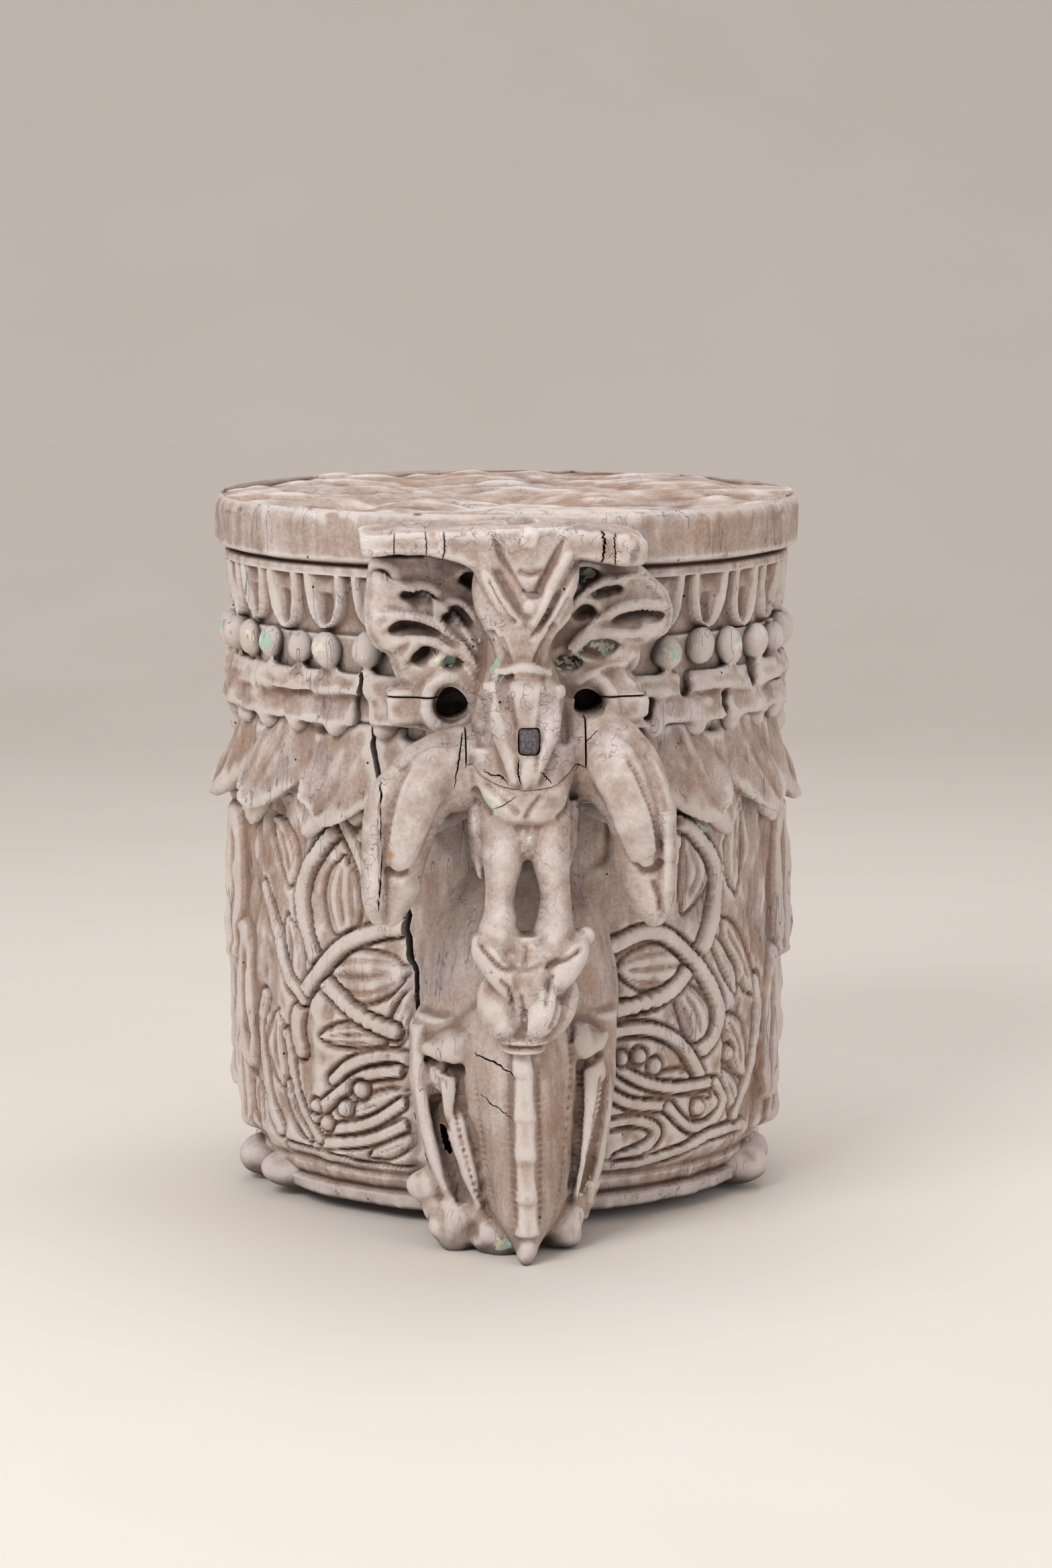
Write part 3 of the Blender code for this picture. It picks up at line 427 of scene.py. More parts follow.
def stroke_relief(points, strokes):
    """Height change along the normal from carved lines: each stroke is a path of (x, z), a width and a height
    in metres (below 0 for a groove), and counts where f is above its last value. The profile across a line is
    a bell, and its ends fade out."""
    x, f, z = uncarved(points)
    relief = np.zeros(len(points))
    for path, width, height, nearest in strokes:
        reach = 2.4 * width / HEIGHT
        xs, zs = np.array(path).T
        inside = np.flatnonzero((x > xs.min() - reach) & (x < xs.max() + reach) & (z > zs.min() - reach)
                                & (z < zs.max() + reach) & (f > nearest))
        if not len(inside):
            continue
        line = spline(path, 28)
        offset = np.hypot(x[inside, None] - line[None, :, 0], z[inside, None] - line[None, :, 1])
        closest = offset.argmin(axis=1)
        fade = smooth(np.minimum(closest, 27 - closest), -0.5, 4.0)
        relief[inside] += height * fade * ridge(offset.min(axis=1) * HEIGHT, width)
    return relief


def weathered(made, amount, grain, seed, strokes=()):
    """Carve the strokes and wear the skin: broad and fine noise, drawn out along the grain by the sizes in
    grain (metres), pushes each point along its normal."""
    points, normals = read_points(made)
    relief = stroke_relief(points, strokes)
    points = points + normals * relief[:, None]
    wear = fractal(points, grain, 3, seed) * amount
    wear += fractal(points, (0.016, 0.016, 0.016), 2, seed + 3) * amount * 1.2
    write_points(made, points + normals * wear[:, None])


def piece(made, node, material):
    """Hand a finished piece to the frame: shaded smooth up to sharp edges, on body root, for its CAD node."""
    made.data.polygons.foreach_set("use_smooth", np.ones(len(made.data.polygons), bool))
    made.data.set_sharp_from_angle(angle=math.radians(50.0))
    made.data.materials.clear()
    made.data.materials.append(material)
    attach(made, "root")
    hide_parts(node)


# ---- materials -----------------------------------------------------------------------------------------

def linear(red, green, blue):
    """A colour in 0 to 255 as the shader's own linear values."""
    values = np.array([red, green, blue]) / 255.0
    return (*np.where(values <= 0.04045, values / 12.92, ((values + 0.055) / 1.055) ** 2.4), 1.0)


PALE = linear(216, 207, 205)
BODY_TONE = linear(190, 175, 167)
WARM = linear(176, 151, 134)
# Near-black brown for the painted shade in deep recesses
PAINTED_SHADE_TONE = linear(50, 37, 30)
CREAM = linear(226, 220, 200)
MINT = linear(150, 190, 178)
RUST = linear(178, 126, 88)
LILAC = linear(176, 167, 172)
STREAK_SHADE = linear(224, 215, 209)
STREAK_LIGHT = linear(255, 254, 253)
GRIT_SHADE = linear(230, 225, 221)
GRIT_LIGHT = linear(255, 255, 255)
WORN_EDGE = linear(232, 226, 223)
# Brown laid into hollows: settled dirt together with painted shade
HOLLOW_DIRT_AND_SHADE = linear(116, 92, 79)
WORM_HOLE = linear(40, 29, 24)
HAIRLINE = linear(84, 66, 56)
IRON_SCALE = linear(70, 63, 68)
IRON_WORN = linear(122, 114, 120)
IRON_RUST = linear(104, 74, 58)
FLOOR_TONE = linear(222, 214, 206)
FLOOR_LIGHT = linear(230, 223, 216)
STUDIO_AIR = linear(238, 232, 228)


def add(tree, kind, inputs=None, **settings):
    """A node with its settings, and its inputs set to values or linked to sockets."""
    node = tree.nodes.new(kind)
    for key, value in settings.items():
        setattr(node, key, value)
    for key, value in (inputs or {}).items():
        if isinstance(value, bpy.types.NodeSocket):
            tree.links.new(value, node.inputs[key])
        else:
            node.inputs[key].default_value = value
    return node


def noise(tree, where, scale, detail=4.0, rough=0.6, stretch=(1.0, 1.0, 1.0)):
    """Noise from 0 to 1 on Object coordinates, stretched along the axes; scale is in cells a metre."""
    mapped = add(tree, "ShaderNodeMapping", {"Vector": where, "Scale": stretch})
    made = add(tree, "ShaderNodeTexNoise", {"Vector": mapped.outputs[0], "Scale": scale, "Detail": detail,
                                            "Roughness": rough})
    return made.outputs["Fac"]


def steps(tree, value, low, high):
    """0 below low and 1 above high, with a smooth change between."""
    made = add(tree, "ShaderNodeMapRange", {"Value": value, "From Min": low, "From Max": high},
               interpolation_type="SMOOTHSTEP")
    return made.outputs["Result"]


def sums(tree, operation, first, second):
    """One arithmetic step on values or sockets."""
    return add(tree, "ShaderNodeMath", {0: first, 1: second}, operation=operation).outputs[0]


def times(tree, first, second):
    """One value or socket times another."""
    return sums(tree, "MULTIPLY", first, second)


def over(tree, amount, under, top, blend="MIX"):
    """A colour laid over another by an amount."""
    made = add(tree, "ShaderNodeMix", data_type="RGBA", blend_type=blend)
    for slot, value in ((0, amount), (6, under), (7, top)):
        if isinstance(value, bpy.types.NodeSocket):
            tree.links.new(value, made.inputs[slot])
        else:
            made.inputs[slot].default_value = value
    return made.outputs[2]


def reading(tree, name):
    """A piece's own number at each point."""
    return add(tree, "ShaderNodeAttribute", attribute_name=name).outputs["Fac"]


def wood(name, streak, weave, warmth=0.5, paleness=0.5):
    """Weathered bare wood: beige, pale and lilac-grey tones by broad and streaky noise along the grain
    (streak stretches it), pale edges, and hollows darkened by settled dirt together with painted shade, from
    the piece's hollow value, painted shade in deep recesses from ambient occlusion, old cream and mint paint
    and rusty stains where the piece's paint and stain values and noise meet, worm holes, hairlines along the
    grain (narrow bands of a stretched noise), and a fine weave of end grain in the bump."""
    made = bpy.data.materials.new(name)
    made.use_nodes = True
    tree = made.node_tree
    shader = tree.nodes["Principled BSDF"]
    where = add(tree, "ShaderNodeTexCoord").outputs["Object"]
    hollow = reading(tree, "hollow")

    broad = noise(tree, where, 11.0, 3.0)
    streaks = noise(tree, where, 75.0, 5.0, 0.62, streak)
    fine = noise(tree, where, 430.0, 3.0, 0.7)
    patches = noise(tree, where, 34.0, 5.0, 0.65)
    other = noise(tree, where, 21.0, 3.0, 0.6)

    color = over(tree, times(tree, steps(tree, broad, 0.40, 0.64), warmth), BODY_TONE, WARM)
    color = over(tree, times(tree, steps(tree, other, 0.50, 0.66), 0.6), color, LILAC)
    color = over(tree, times(tree, steps(tree, patches, 0.42, 0.64), paleness), color, PALE)
    tone = over(tree, steps(tree, streaks, 0.34, 0.66), STREAK_SHADE, STREAK_LIGHT)
    color = over(tree, 0.9, color, tone, "MULTIPLY")
    grit = over(tree, steps(tree, fine, 0.34, 0.66), GRIT_SHADE, GRIT_LIGHT)
    color = over(tree, 0.9, color, grit, "MULTIPLY")

    edge = times(tree, steps(tree, hollow, -0.10, -0.95), 0.50)
    color = over(tree, edge, color, WORN_EDGE)
    # Settled dirt together with painted shade: colour darkens where the surface lies sunk below its evened
    # skin
    dirt_and_shade = times(tree, steps(tree, hollow, 0.05, 0.95), 0.66)
    color = over(tree, dirt_and_shade, color, HOLLOW_DIRT_AND_SHADE)

    # Painted shade: ambient occlusion darkens deep recesses, such as under the wings, towards a near-black
    # brown
    shade = add(tree, "ShaderNodeAmbientOcclusion", {"Distance": 0.050}, samples=6)
    painted_recess_shade = steps(tree, shade.outputs["AO"], 0.58, 0.10)
    color = over(tree, times(tree, painted_recess_shade, 0.88), color, PAINTED_SHADE_TONE)

    flakes = noise(tree, where, 240.0, 4.0, 0.7)
    paint = reading(tree, "paint")
    film = sums(tree, "ADD", paint, times(tree, steps(tree, hollow, 0.2, 1.0), 0.22))
    film = times(tree, film, steps(tree, patches, 0.40, 0.64))
    left = steps(tree, sums(tree, "ADD", film, times(tree, flakes, 0.75)), 0.72, 0.80)
    color = over(tree, times(tree, left, 0.80), color, CREAM)
    green = noise(tree, where, 46.0, 3.0)
    teal = times(tree, left, steps(tree, green, 0.48, 0.55))
    color = over(tree, times(tree, teal, 0.72), color, MINT)

    stain = reading(tree, "stain")
    rusty = steps(tree, times(tree, stain, sums(tree, "ADD", flakes, 0.45)), 0.30, 0.95)
    color = over(tree, times(tree, rusty, 0.75), color, RUST)

    bored = add(tree, "ShaderNodeTexVoronoi", {"Vector": where, "Scale": 70.0, "Randomness": 1.0})
    some = steps(tree, noise(tree, where, 26.0, 2.0), 0.54, 0.57)
    hole = times(tree, steps(tree, bored.outputs["Distance"], 0.066, 0.050), some)
    color = over(tree, hole, color, WORM_HOLE)

    grain = noise(tree, where, 95.0, 2.0, 0.5, streak)
    off = add(tree, "ShaderNodeMath", {0: sums(tree, "SUBTRACT", grain, 0.5)},
              operation="ABSOLUTE").outputs[0]
    hair = times(tree, steps(tree, off, 0.0075, 0.0015), steps(tree, other, 0.50, 0.58))
    color = over(tree, times(tree, hair, 0.50), color, HAIRLINE)

    tree.links.new(color, shader.inputs["Base Color"])
    shader.inputs["Roughness"].default_value = 0.86
    shader.inputs["Specular IOR Level"].default_value = 0.25

    woven = times(tree, noise(tree, where, 900.0, 1.5, 0.5, weave), 0.55)
    height = sums(tree, "ADD", times(tree, streaks, 0.9), woven)
    height = sums(tree, "ADD", height, times(tree, fine, 0.4))
    height = sums(tree, "SUBTRACT", height, times(tree, hole, 2.5))
    height = sums(tree, "SUBTRACT", height, times(tree, hair, 1.2))
    height = sums(tree, "ADD", height, times(tree, left, 0.3))
    bump = add(tree, "ShaderNodeBump", {"Height": height, "Distance": 0.0009, "Strength": 0.75})
    tree.links.new(bump.outputs[0], shader.inputs["Normal"])
    return made


def iron(name):
    """Old wrought iron: grey-violet scale, worn lighter in places, brown rust in patches, hammered bump."""
    made = bpy.data.materials.new(name)
    made.use_nodes = True
    tree = made.node_tree
    shader = tree.nodes["Principled BSDF"]
    where = add(tree, "ShaderNodeTexCoord").outputs["Object"]
    pits = noise(tree, where, 520.0, 5.0, 0.7)
    broad = noise(tree, where, 160.0, 3.0)
    color = over(tree, steps(tree, pits, 0.35, 0.68), IRON_SCALE, IRON_WORN)
    color = over(tree, times(tree, steps(tree, broad, 0.52, 0.66), 0.6), color, IRON_RUST)
    tree.links.new(color, shader.inputs["Base Color"])
    shader.inputs["Metallic"].default_value = 0.35
    shader.inputs["Roughness"].default_value = 0.62
    bump = add(tree, "ShaderNodeBump", {"Height": pits, "Distance": 0.0008, "Strength": 0.8})
    tree.links.new(bump.outputs[0], shader.inputs["Normal"])
    return made


def pale_floor(name):
    """A plain pale floor with a barely uneven tone."""
    made = bpy.data.materials.new(name)
    made.use_nodes = True
    tree = made.node_tree
    shader = tree.nodes["Principled BSDF"]
    where = add(tree, "ShaderNodeTexCoord").outputs["Object"]
    color = over(tree, noise(tree, where, 3.0, 2.0), FLOOR_TONE, FLOOR_LIGHT)
    tree.links.new(color, shader.inputs["Base Color"])
    shader.inputs["Roughness"].default_value = 0.8
    return made


# Grain: how much a pattern is squeezed along each axis
UPRIGHT = (1.0, 1.0, 0.10)
FORWARD = (1.0, 0.12, 1.0)
EVEN = (1.0, 1.0, 1.0)


# ---- drum ----------------------------------------------------------------------------------------------

def turned_profile(z):
    """The drum's plain turned radius, in metres: straight runs between named levels, a groove as a bell and
    an S curve out to the rim."""
    edge = 0.006
    heights = [0.0, 0.004, 0.020, 0.026, 0.034, 0.046, 0.054, 0.080, 0.30, 0.52, PETAL_TOP, 0.78,
               TONGUE_FOOT, FILLET_FOOT]
    ring = BASE_RADIUS
    radii = [ring - edge * 0.4, ring + edge * 0.2, ring + edge * 0.5, ring - edge * 0.5, ring + edge * 0.2,
             ring + edge * 0.6, ring, BODY_RADIUS - edge, BODY_RADIUS - edge * 0.7, BODY_RADIUS - edge * 0.9,
             BODY_RADIUS - edge / 2, NECK_RADIUS - edge, NECK_RADIUS - edge * 0.6, NECK_RADIUS]
    radius = np.interp(z, heights, radii)
    radius = np.where(z > FILLET_FOOT, NECK_RADIUS + edge * 0.5, radius)
    groove = ridge(z - RIM_FOOT, 0.0038) * edge * 0.75
    rim = smooth(z, RIM_FOOT - 0.002, RIM_FOOT + 0.005)
    corner = smooth(z, 0.975, 1.0) ** 2 * edge * 0.6
    return radius + rim * (RIM_RADIUS - radius) - groove - corner


def tongues(angle, z):
    """Hanging tongues: a U-shaped raised edge (a bell along the outline) round a drop-shaped hollow."""
    across, number = cell(angle, TONGUES)
    across = across * (1.0 + 0.10 * (scatter(number, 31) - 0.5))
    down = np.clip((FILLET_FOOT - z) / (FILLET_FOOT - TONGUE_FOOT), -0.2, 1.3)
    tip = 0.94 + 0.10 * scatter(number, 2)
    half = 0.88 * np.sqrt(np.clip(1.0 - np.clip(down / tip, 0.0, 1.0) ** 3, 0.0, 1.0))
    edge = ridge(np.abs(across) - half + 0.20, 0.20) * smooth(tip + 0.04 - down, 0.0, 0.05)
    hollow = ridge(across, 0.26) * dome(down - 0.60, 0.28) * (0.6 + 0.6 * scatter(number, 4))
    inside = smooth(half - np.abs(across), -0.04, 0.10)
    band = (z < FILLET_FOOT) & (z > TONGUE_FOOT - 0.004)
    wedge = ridge(across, 0.30) * smooth(0.35 - down, 0.0, 0.35)
    return np.where(band, 0.0030 * inside + 0.0042 * edge - 0.0078 * hollow - 0.0035 - 0.002 * wedge, 0.0)


def surface_noise(angle, z, size, octaves, seed):
    """Noise on the drum's wall, on its unrolled-in-space points, from -1 to 1."""
    points = on_wall(BODY_RADIUS, angle, z * HEIGHT).reshape(-1, 3)
    return fractal(points, size, octaves, seed).reshape(angle.shape)


def overlay(relief, rows, edge, height, ground):
    """Lay a carved form over the field: outside its edge a groove down to the ground climbs back to the field
    within 3 mm; inside, the form's own height counts. Edge is the distance outside the form's outline."""
    around = np.minimum(relief[rows], ground + (relief[rows] - ground) * smooth(edge, 0.0005, 0.0075))
    relief[rows] = np.where(edge < 0.0005, np.maximum(height, ground), around)


def band_height(along, up, path, half, height, rows):
    """A raised band on the unrolled wall (both axes in shares): a flat-topped arch, (1 - (d / half)^4)^0.5,
    round a spline through the path, with a fine line cut near one side; rows are the points near enough."""
    line = spline(path, 36)
    offset = np.hypot(along[rows, None] - line[None, :, 0], up[rows, None] - line[None, :, 1]).min(axis=1)
    top = np.sqrt(np.clip(1.0 - (offset / half) ** 4, 0.0, 1.0))
    return offset - half, height * top - 0.0009 * ridge(offset, 0.0022)


def leaf_height(along, up, path, half, height, rows):
    """A carved leaf round a midline: half width sin(pi t)^0.7, pillowed, with a sunk vein on the midline
    and a line that follows the outline inside it."""
    line = spline(path, 36)
    distance = np.hypot(along[rows, None] - line[None, :, 0], up[rows, None] - line[None, :, 1])
    t = distance.argmin(axis=1) / 35.0
    offset = distance.min(axis=1)
    wide = half * np.sin(math.pi * np.clip(t, 0.02, 0.98)) ** 0.7
    share = offset / np.maximum(wide, 1e-4)
    body = np.sqrt(np.clip(1.0 - share ** 3, 0.0, 1.0))
    vein = 0.34 * ridge(share, 0.13) * smooth(t, 0.05, 0.2) * smooth(0.85 - t, 0.0, 0.2)
    vein = vein + 0.26 * ridge(share - 0.60, 0.10)
    return offset - wide, height * body * (1.0 - vein)


def bent(path):
    """A path of (degrees from the front, z) on the unrolled wall, both axes in shares of the height."""
    places = np.array(path, float)
    return np.stack([np.radians(places[:, 0]) * BODY_RADIUS / HEIGHT, places[:, 1]], -1)


# Vines: bands (path, half width, height) and leaves (path, half width, height); degrees and z, shares, metres
LEFT_BANDS = [
    ([(35, 0.569), (44, 0.525), (50, 0.474), (51, 0.421), (48, 0.367), (44, 0.324), (37, 0.286), (27, 0.262)],
     0.0125, 0.0078),
    ([(22, 0.415), (31, 0.403), (39, 0.379), (45, 0.340), (50, 0.301), (53, 0.254), (52, 0.215)], 0.0125,
     0.0085),
    ([(40, 0.567), (36, 0.514), (33, 0.477), (28, 0.440)], 0.009, 0.0060),
    ([(42, 0.182), (37, 0.209), (29, 0.226), (22, 0.222)], 0.0095, 0.0062),
    ([(48, 0.120), (41, 0.162), (34, 0.194), (26, 0.206)], 0.009, 0.0075),
    ([(43, 0.108), (33, 0.126), (25, 0.160)], 0.0085, 0.0062),
    ([(46, 0.086), (34, 0.100), (25, 0.127)], 0.0085, 0.0058),
    ([(59, 0.066), (46, 0.064), (33, 0.058), (22, 0.058)], 0.0075, 0.0050),
    ([(66, 0.440), (61, 0.385), (57, 0.330), (51, 0.290)], 0.0100, 0.0062),
    ([(67, 0.280), (69, 0.220), (67, 0.150), (61, 0.090)], 0.0110, 0.0062),
    ([(57, 0.235), (55, 0.180), (52, 0.130), (47, 0.092)], 0.0085, 0.0056),
]
LEFT_LEAVES = [
    ([(39, 0.500), (40, 0.440), (38, 0.385)], 0.034, 0.0058),
    ([(44, 0.333), (35, 0.336), (24, 0.350)], 0.040, 0.0064),
    ([(45, 0.243), (36, 0.252), (25, 0.258)], 0.019, 0.0058),
    ([(38, 0.135), (32, 0.152), (24, 0.176)], 0.017, 0.0060),
    ([(56, 0.405), (55, 0.345), (53, 0.295)], 0.030, 0.0056),
    ([(60, 0.262), (61, 0.211), (59, 0.160)], 0.032, 0.0056),
    ([(57, 0.165), (55, 0.129), (50, 0.085)], 0.018, 0.0050),
    ([(33, 0.079), (28, 0.092), (22, 0.112)], 0.013, 0.0048),
    ([(28, 0.236), (25, 0.280), (22, 0.325)], 0.016, 0.0060),
    ([(62, 0.545), (57, 0.500), (55, 0.455)], 0.026, 0.0050),
    ([(74, 0.150), (72, 0.110), (69, 0.070)], 0.022, 0.0055),
]
LEFT_BUDS = [(35, 0.173, 0.014), (39, 0.143, 0.013), (44, 0.117, 0.012), (47, 0.140, 0.011)]
RIGHT_BANDS = [
    ([(33, 0.560), (40, 0.540), (46, 0.490), (47, 0.428), (44, 0.384), (39, 0.340), (32, 0.307), (21, 0.294)],
     0.0125, 0.0082),
    ([(20, 0.385), (26, 0.399), (32, 0.395), (38, 0.366), (45, 0.318), (48, 0.271), (46, 0.235), (41, 0.215)],
     0.0120, 0.0078),
    ([(20, 0.262), (28, 0.262), (36, 0.238), (41, 0.199), (43, 0.170)], 0.0100, 0.0075),
    ([(18, 0.228), (25, 0.193), (34, 0.172), (46, 0.168)], 0.0085, 0.0066),
    ([(17, 0.183), (24, 0.157), (34, 0.146)], 0.0085, 0.0062),
    ([(34, 0.143), (39, 0.112), (46, 0.107), (51, 0.136), (48, 0.166)], 0.0080, 0.0064),
    ([(19, 0.130), (26, 0.130), (31, 0.113), (29, 0.093), (21, 0.078)], 0.0080, 0.0056),
    ([(17, 0.068), (27, 0.066), (38, 0.078), (48, 0.092), (60, 0.090)], 0.0085, 0.0060),
    ([(34, 0.555), (31, 0.508), (33, 0.448)], 0.0085, 0.0056),
    ([(64, 0.300), (66, 0.240), (63, 0.170), (56, 0.110)], 0.0105, 0.0060),
]
RIGHT_LEAVES = [
    ([(38, 0.530), (41, 0.480), (38, 0.425)], 0.030, 0.0052),
    ([(21, 0.350), (31, 0.348), (43, 0.346)], 0.036, 0.0064),
    ([(36, 0.318), (41, 0.273), (42, 0.222)], 0.027, 0.0060),
    ([(31, 0.190), (38, 0.180), (46, 0.150)], 0.014, 0.0055),
    ([(50, 0.400), (56, 0.345), (62, 0.285)], 0.028, 0.0062),
    ([(50, 0.262), (56, 0.215), (59, 0.165)], 0.028, 0.0062),
    ([(51, 0.180), (55, 0.140), (57, 0.100)], 0.018, 0.0055),
    ([(46, 0.380), (52, 0.330), (54, 0.290)], 0.014, 0.0052),
    ([(55, 0.560), (54, 0.500), (55, 0.440)], 0.026, 0.0050),
    ([(66, 0.250), (70, 0.200), (70, 0.140)], 0.026, 0.0062),
]
RIGHT_BUDS = [(22, 0.223, 0.011), (26, 0.224, 0.012), (30, 0.207, 0.013), (42, 0.136, 0.013),
              (52, 0.205, 0.013)]


def vine_side(fold, z, bands, leaves, buds, field):
    """Carving of one side: a lumpy field, leaves cut into it, bands over them, and round buds."""
    along = (fold * BODY_RADIUS / HEIGHT).ravel()
    up = z.ravel()
    relief = field.ravel().copy()
    for shape, items in ((leaf_height, leaves), (band_height, bands)):
        for path, half, height in items:
            flat = bent(path)
            low = flat.min(axis=0) - half - 0.01
            high = flat.max(axis=0) + half + 0.01
            rows = np.flatnonzero((along > low[0]) & (along < high[0]) & (up > low[1]) & (up < high[1]))
            if len(rows):
                edge, raised = shape(along, up, flat, half, height, rows)
                overlay(relief, rows, edge, raised, 0.0006)
    for degrees, level, radius in buds:
        centre = math.radians(degrees) * BODY_RADIUS / HEIGHT
        distance = np.hypot(along - centre, up - level)
        rows = np.flatnonzero(distance < radius + 0.01)
        overlay(relief, rows, distance[rows] - radius, 0.0085 * dome(distance[rows], radius), 0.0010)
    return relief.reshape(fold.shape)


# Tassels: bearing in radians and lean; each one's leaves: top, foot, half width, height and place beside it
TASSELS = ((-1.47, 0.10), (1.44, -0.10), (-2.3, 0.05), (2.3, -0.05), (math.pi, 0.0))
TASSEL_LEAVES = ((0.570, 0.30, 0.062, 0.0185, 0.0), (0.40, 0.15, 0.050, 0.0140, 0.045),
                 (0.36, 0.10, 0.050, 0.0150, -0.045), (0.22, 0.055, 0.042, 0.0120, 0.0))


def feather_mass(angle, z):
    """Long tassels of leaves hanging at both sides and behind: each is a rounded body, widest in its upper
    third, with flutes as a cosine across and a pointed foot."""
    relief = np.zeros_like(angle)
    for centre, tilt in TASSELS:
        off = wall_distance(angle, centre) + tilt * (z - 0.40)
        for top, foot, wide, raise_by, shift in TASSEL_LEAVES:
            along = np.clip((z - foot) / (top - foot), 0.0, 1.0)
            half = wide * np.sqrt(along) * (1.0 - along ** 5) * 1.15 + 1e-5
            share = np.abs(off - shift) / half
            ends = smooth(along, 0.0, 0.10) * smooth(1.0 - along, 0.0, 0.12)
            body = dome(share, 1.0) * ends
            flute = 0.80 + 0.20 * np.cos((off - shift) / half * 9.0) * smooth(1.0 - along, 0.1, 0.5)
            relief = np.maximum(relief, raise_by * body * flute)
    return relief


def vines(angle, z):
    """Interlaced bands, leaves and buds; the sides are unlike, and the back repeats them in mirror."""
    fold = np.abs(angle)
    fold = np.where(fold > math.pi / 2, math.pi - fold, fold)
    lumps = surface_noise(angle, z, (0.020, 0.020, 0.028), 2, 51)
    field = 0.0044 + 0.0044 * lumps
    left = vine_side(fold, z, LEFT_BANDS, LEFT_LEAVES, LEFT_BUDS, field)
    right = vine_side(fold, z, RIGHT_BANDS, RIGHT_LEAVES, RIGHT_BUDS, field)
    inner = np.where(angle < 0.0, smooth(fold, 0.385, 0.43), smooth(fold, 0.22, 0.33))
    zone = smooth(z, 0.045, 0.062) * smooth(0.60 - z, 0.0, 0.02) * inner
    relief = zone * np.where(angle < 0.0, left, right)
    under_bird = smooth(0.36 - np.abs(angle), 0.0, 0.08) * smooth(z, 0.49, 0.53) * smooth(0.615 - z, 0.0,
                                                                                          0.02)
    return np.maximum(relief, feather_mass(angle, z)) - 0.022 * under_bird


# Side lumps: height on the drum and place beside the bearing, shares
SIDE_LUMPS = ((0.662, -0.02), (0.628, 0.025), (0.590, -0.022), (0.560, 0.02))


def side_balls(angle, z):
    """Stacked round lumps above the feathers at both sides and behind."""
    relief = np.zeros_like(angle)
    for centre in (-math.pi / 2, math.pi / 2, math.pi):
        off = wall_distance(angle, centre)
        for level, shift in SIDE_LUMPS:
            relief = np.maximum(relief, 0.013 * dome(np.hypot(off - shift, z - level), 0.026))
    return relief


def wrapped(levels, radius_at, inner_foot, inner_top, top_level):
    """A closed drum: columns closer at the front (angle = pi (0.6 t + 0.4 t^3)), one ring for each level with
    radius_at(angle, z), and rings that close it below and above; top_level(x, y, height) gives
    the top's height."""
    t = np.linspace(-1.0, 1.0, DRUM_COLUMNS, endpoint=False)
    angle = math.pi * (0.6 * t + 0.4 * t ** 3)
    a, z = np.meshgrid(angle, levels)
    radius = radius_at(a, z)
    under = radius[:1] * np.array(inner_foot)[:, None]
    above = radius[-1:] * np.array(inner_top)[:, None]
    radii = np.vstack([under, radius, above])
    heights = np.vstack([np.full_like(under, levels[0]), z, np.full_like(above, levels[-1])]) * HEIGHT
    angles = np.broadcast_to(angle, radii.shape)
    x = radii * np.sin(angles)
    y = -radii * np.cos(angles)
    first_top = len(radii) - len(above)
    heights[first_top - 1:] = top_level(x[first_top - 1:], y[first_top - 1:], heights[first_top - 1:])
    return capped(np.stack([x, y, heights], -1))


def worn_top(x, y, height):
    """Height of the eroded top face: broad hollows and drawn-out ripples below the bearing plane, a shallow
    basin, and an upper limit at the bearing plane itself."""
    points = np.stack([x, y, np.zeros_like(x)], -1).reshape(-1, 3)
    broad = fractal(points, (0.055, 0.038, 1.0), 3, 41).reshape(x.shape)
    ripple = fractal(points, (0.050, 0.008, 1.0), 3, 47).reshape(x.shape)
    across = np.hypot(x, y) / RIM_RADIUS
    basin = 0.003 * dome(across, 0.72)
    drop = 0.0026 + 0.0095 * broad + 0.0004 * ripple + basin
    knot = 0.006 * ridge(np.hypot(x + 0.105, (y + 0.075) * 1.8), 0.016)
    split = 0.010 * ridge((x + 0.02 + 0.5 * (y + 0.10)) * 1.0, 0.0016) * smooth(-y, 0.03, 0.10)
    chipped = 0.004 * smooth(across, 0.90, 1.0) * (0.6 + 0.6 * broad)
    return HEIGHT - np.clip(drop + knot + split + chipped, 0.0, 0.022)


def flat_top(x, y, height):
    """A plain top for a drum that another piece covers: the height as it was, at any x and y."""
    return height


def crown_radius(angle, z):
    """Rim, groove, fillet and tongues, with chips in the rim's edges."""
    low = smooth(z, CROWN_FOOT, CROWN_FOOT + 0.012)
    radius = turned_profile(z) + tongues(angle, z)
    wear = surface_noise(angle, z, (0.030, 0.030, 0.022), 3, 3) * 0.0022
    wear += surface_noise(angle, z, (0.008, 0.008, 0.030), 3, 5) * 0.0012
    chip = smooth(surface_noise(angle, z, (0.020, 0.020, 0.008), 2, 9), 0.30, 0.55)
    lip = smooth(z, 0.965, 1.0)
    step = ridge(z - 0.930, 0.006)
    return radius + wear - chip * (0.0040 * lip + 0.0015 * step) - 0.004 * (1.0 - low)


def body_radius(angle, z):
    """Vines, feathers, lumps and base mouldings, with wear."""
    relief = np.maximum(vines(angle, z), side_balls(angle, z))
    wear = surface_noise(angle, z, (0.018, 0.018, 0.024), 3, 13) * 0.0034
    wear += surface_noise(angle, z, (0.006, 0.006, 0.020), 2, 17) * 0.0010
    return turned_profile(z) + relief + wear


